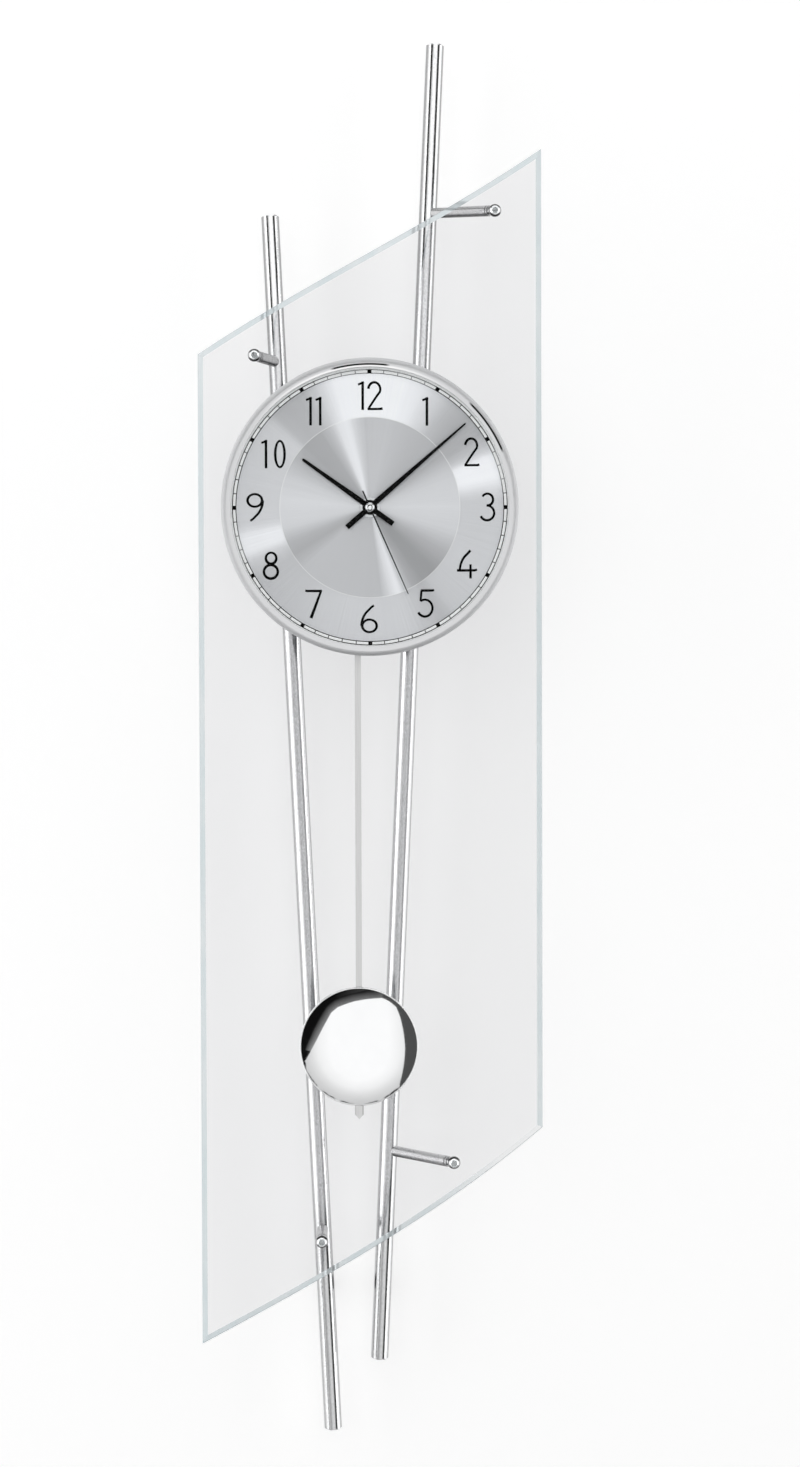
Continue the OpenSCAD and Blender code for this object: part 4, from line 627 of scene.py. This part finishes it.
wall_paint = backdrop_paint("wall_paint", ROOM_GREY, ROOM_GLOW)
foot_left, foot_right = (-ROOM_X, WALL_Y, FLOOR_Z), (ROOM_X, WALL_Y, FLOOR_Z)
top_left, top_right = (-ROOM_X, WALL_Y, WALL_TOP), (ROOM_X, WALL_Y, WALL_TOP)
front_left, front_right = (-ROOM_X, FLOOR_FRONT, FLOOR_Z), (ROOM_X, FLOOR_FRONT, FLOOR_Z)
staged("wall", [foot_left, foot_right, top_right, top_left], [(0, 1, 2, 3)], wall_paint)
floor = staged("floor", [foot_left, front_left, front_right, foot_right], [(0, 1, 2, 3)], wall_paint)
floor.visible_glossy = False

# The point that the lamps face
MID = Vector((0.0, -0.05, -0.17))


def lamp(name, azimuth, elevation, distance, width, height, radiance, mirrored=True):
    """A soft rectangular lamp that faces the clock, given by its direction and its brightness."""
    data = bpy.data.lights.new(name, "AREA")
    data.shape = "RECTANGLE"
    data.size = width
    data.size_y = height
    data.energy = radiance * width * height * math.pi
    ob = bpy.data.objects.new(name, data)
    az, el = math.radians(azimuth), math.radians(elevation)
    back = Vector((math.sin(az) * math.cos(el), -math.cos(az) * math.cos(el), math.sin(el)))
    ob.location = MID + back * distance
    ob.rotation_euler = back.to_track_quat("Z", "Y").to_euler()
    ob.visible_camera = False
    ob.visible_glossy = mirrored
    ob.visible_transmission = mirrored
    scene.collection.objects.link(ob)


lamp("front_light", -8, 14, 2.6, 3.6, 3.2, 0.82, mirrored=False)
lamp("left_strip", -73, 2, 2.0, 1.46, 3.4, 1.45)
lamp("right_strip", 84, 2, 2.0, 1.62, 3.4, 1.45)
lamp("top_panel", 0, 76, 2.2, 3.0, 1.5, 1.1)

# The cloth of the front softbox as the polished pieces mirror it: narrower at its top,
# given by corners [x, z] in a plane in front of the clock
CLOTH_Y = -2.67
CLOTH = [(-0.98, 1.04), (-1.27, 0.80), (-1.48, 0.39), (-1.71, -0.02), (-1.98, -0.45), (-2.42, -1.03),
         (-2.95, -1.64), (-2.98, -2.22), (-2.38, -3.35), (-1.33, -4.15), (-0.05, -4.42), (1.25, -4.12),
         (2.22, -3.2), (2.21, -2.5), (2.18, -1.8), (2.14, -0.8), (2.02, 0.08), (1.93, 0.66), (1.79, 1.13),
         (1.42, 1.42), (1.08, 1.56), (0.36, 1.43), (-0.23, 1.30), (-0.65, 1.16)]
# The middle of its light, how far that reaches across and down, and its brightness there and
# outward, as pairs of the share of one and a half reaches and of the brightness
CLOTH_MIDDLE = (0.0, -0.9)
CLOTH_REACH = (3.0, 3.1)
CLOTH_LEVEL = 1.1
CLOTH_FADE = [(0.0, 1.0), (0.28, 1.0), (0.42, 0.9), (0.52, 0.77), (0.62, 0.68), (0.8, 0.58)]
# Light spills past the cloth from its lower left corner over its left and top sides, behind the
# cloth: the first and last corner, the width, and the brightness along it and on the rest
SPILL_FIRST, SPILL_LAST = 5, -5
SPILL_W = 0.5
SPILL_MIDDLE = (0.2, -1.0)
SPILL = [0.30, 0.28, 0.26, 0.24, 0.22, 0.22]
SPILL_REST = 0.2


def cloth_paint():
    """White cloth, evenly lit round its middle and dimmer toward its sides and the floor."""
    t = Tree("softbox_cloth")
    x, y, z = t.xyz()
    across = t.math("DIVIDE", t.sub(x, CLOTH_MIDDLE[0]), CLOTH_REACH[0])
    down = t.math("MINIMUM", t.math("DIVIDE", t.sub(z, CLOTH_MIDDLE[1]), CLOTH_REACH[1]), 0.0)
    level = t.ramp(t.span(t.length(across, down), 0.0, 1.5), CLOTH_FADE)
    weave = t.shaded(level, t.noise(2.0), 0.985, 1.0)
    return t.done(t.layer("ShaderNodeEmission", Color=weave, Strength=CLOTH_LEVEL))


def spill_paint():
    """Light that spills past the cloth, brightest beside it."""
    t = Tree("softbox_skirt")
    level = t.node("ShaderNodeVertexColor", layer_name="spill").outputs["Color"]
    return t.done(t.layer("ShaderNodeEmission", Color=t.shaded(level, t.noise(2.0), 0.95, 1.0)))


def mirrored_only(name, corners, faces, material):
    """A glowing surface that only mirrors show."""
    ob = staged(name, corners, faces, material)
    ob.visible_camera = False
    ob.visible_diffuse = False
    ob.visible_transmission = False
    ob.visible_shadow = False
    return ob


mirrored_only("softbox_cloth", [(x, CLOTH_Y, z) for x, z in CLOTH], [tuple(range(len(CLOTH)))],
              cloth_paint())
inner = [Vector(p) for p in CLOTH[SPILL_FIRST::-1] + CLOTH[:SPILL_LAST:-1]]
outer = [p + (p - Vector(SPILL_MIDDLE)).normalized() * SPILL_W for p in inner]
count = len(inner)
skirt = mirrored_only("softbox_skirt", [(p.x, CLOTH_Y - 0.01, p.y) for p in inner + outer],
                      [(i, i + 1, count + i + 1, count + i) for i in range(count - 1)], spill_paint())
fade = skirt.data.color_attributes.new("spill", "FLOAT_COLOR", "POINT")
for i, level in enumerate(SPILL + [SPILL_REST] * (count - len(SPILL))):
    fade.data[i].color = (level, level, level, 1)
    fade.data[count + i].color = (0, 0, 0, 1)

# The room's darkness from the left to the right, as mirrors show it. Camera and transmission
# rays see white.
ROOM_TURN = (-0.35, 0.45)
ROOM_DARK = (0.005, 0.08)

studio = Tree("studio", world=True)
dark = studio.span(studio.xyz(studio.coord("Generated"))[0], *ROOM_TURN, *ROOM_DARK)
strength = studio.span(studio.light_path("Is Camera Ray", "Is Transmission Ray"), 0.0, 1.0, dark, 1.0)
scene.world = studio.done(studio.layer("ShaderNodeBackground", Color=WHITE, Strength=strength))

# Camera, placed as the photograph was taken: its focal length and picture height in pixels
FOCAL_PX, PHOTO_PX = 2940.0, 1467.0
SENSOR_MM = 36.0
CAMERA_AT = (0.006328, -1.6760, -0.119649)
CAMERA_TURN = (88.23975, 0.175996, -0.350622)

cam = bpy.data.cameras.new("photo_view")
cam.sensor_width = SENSOR_MM
cam.lens = FOCAL_PX / PHOTO_PX * SENSOR_MM
cam.clip_start = 0.05
cam.clip_end = 50.0
cam_ob = bpy.data.objects.new("photo_view", cam)
scene.collection.objects.link(cam_ob)
cam_ob.location = CAMERA_AT
cam_ob.rotation_euler = [math.radians(a) for a in CAMERA_TURN]
scene.camera = cam_ob
scene.view_settings.view_transform = "Standard"
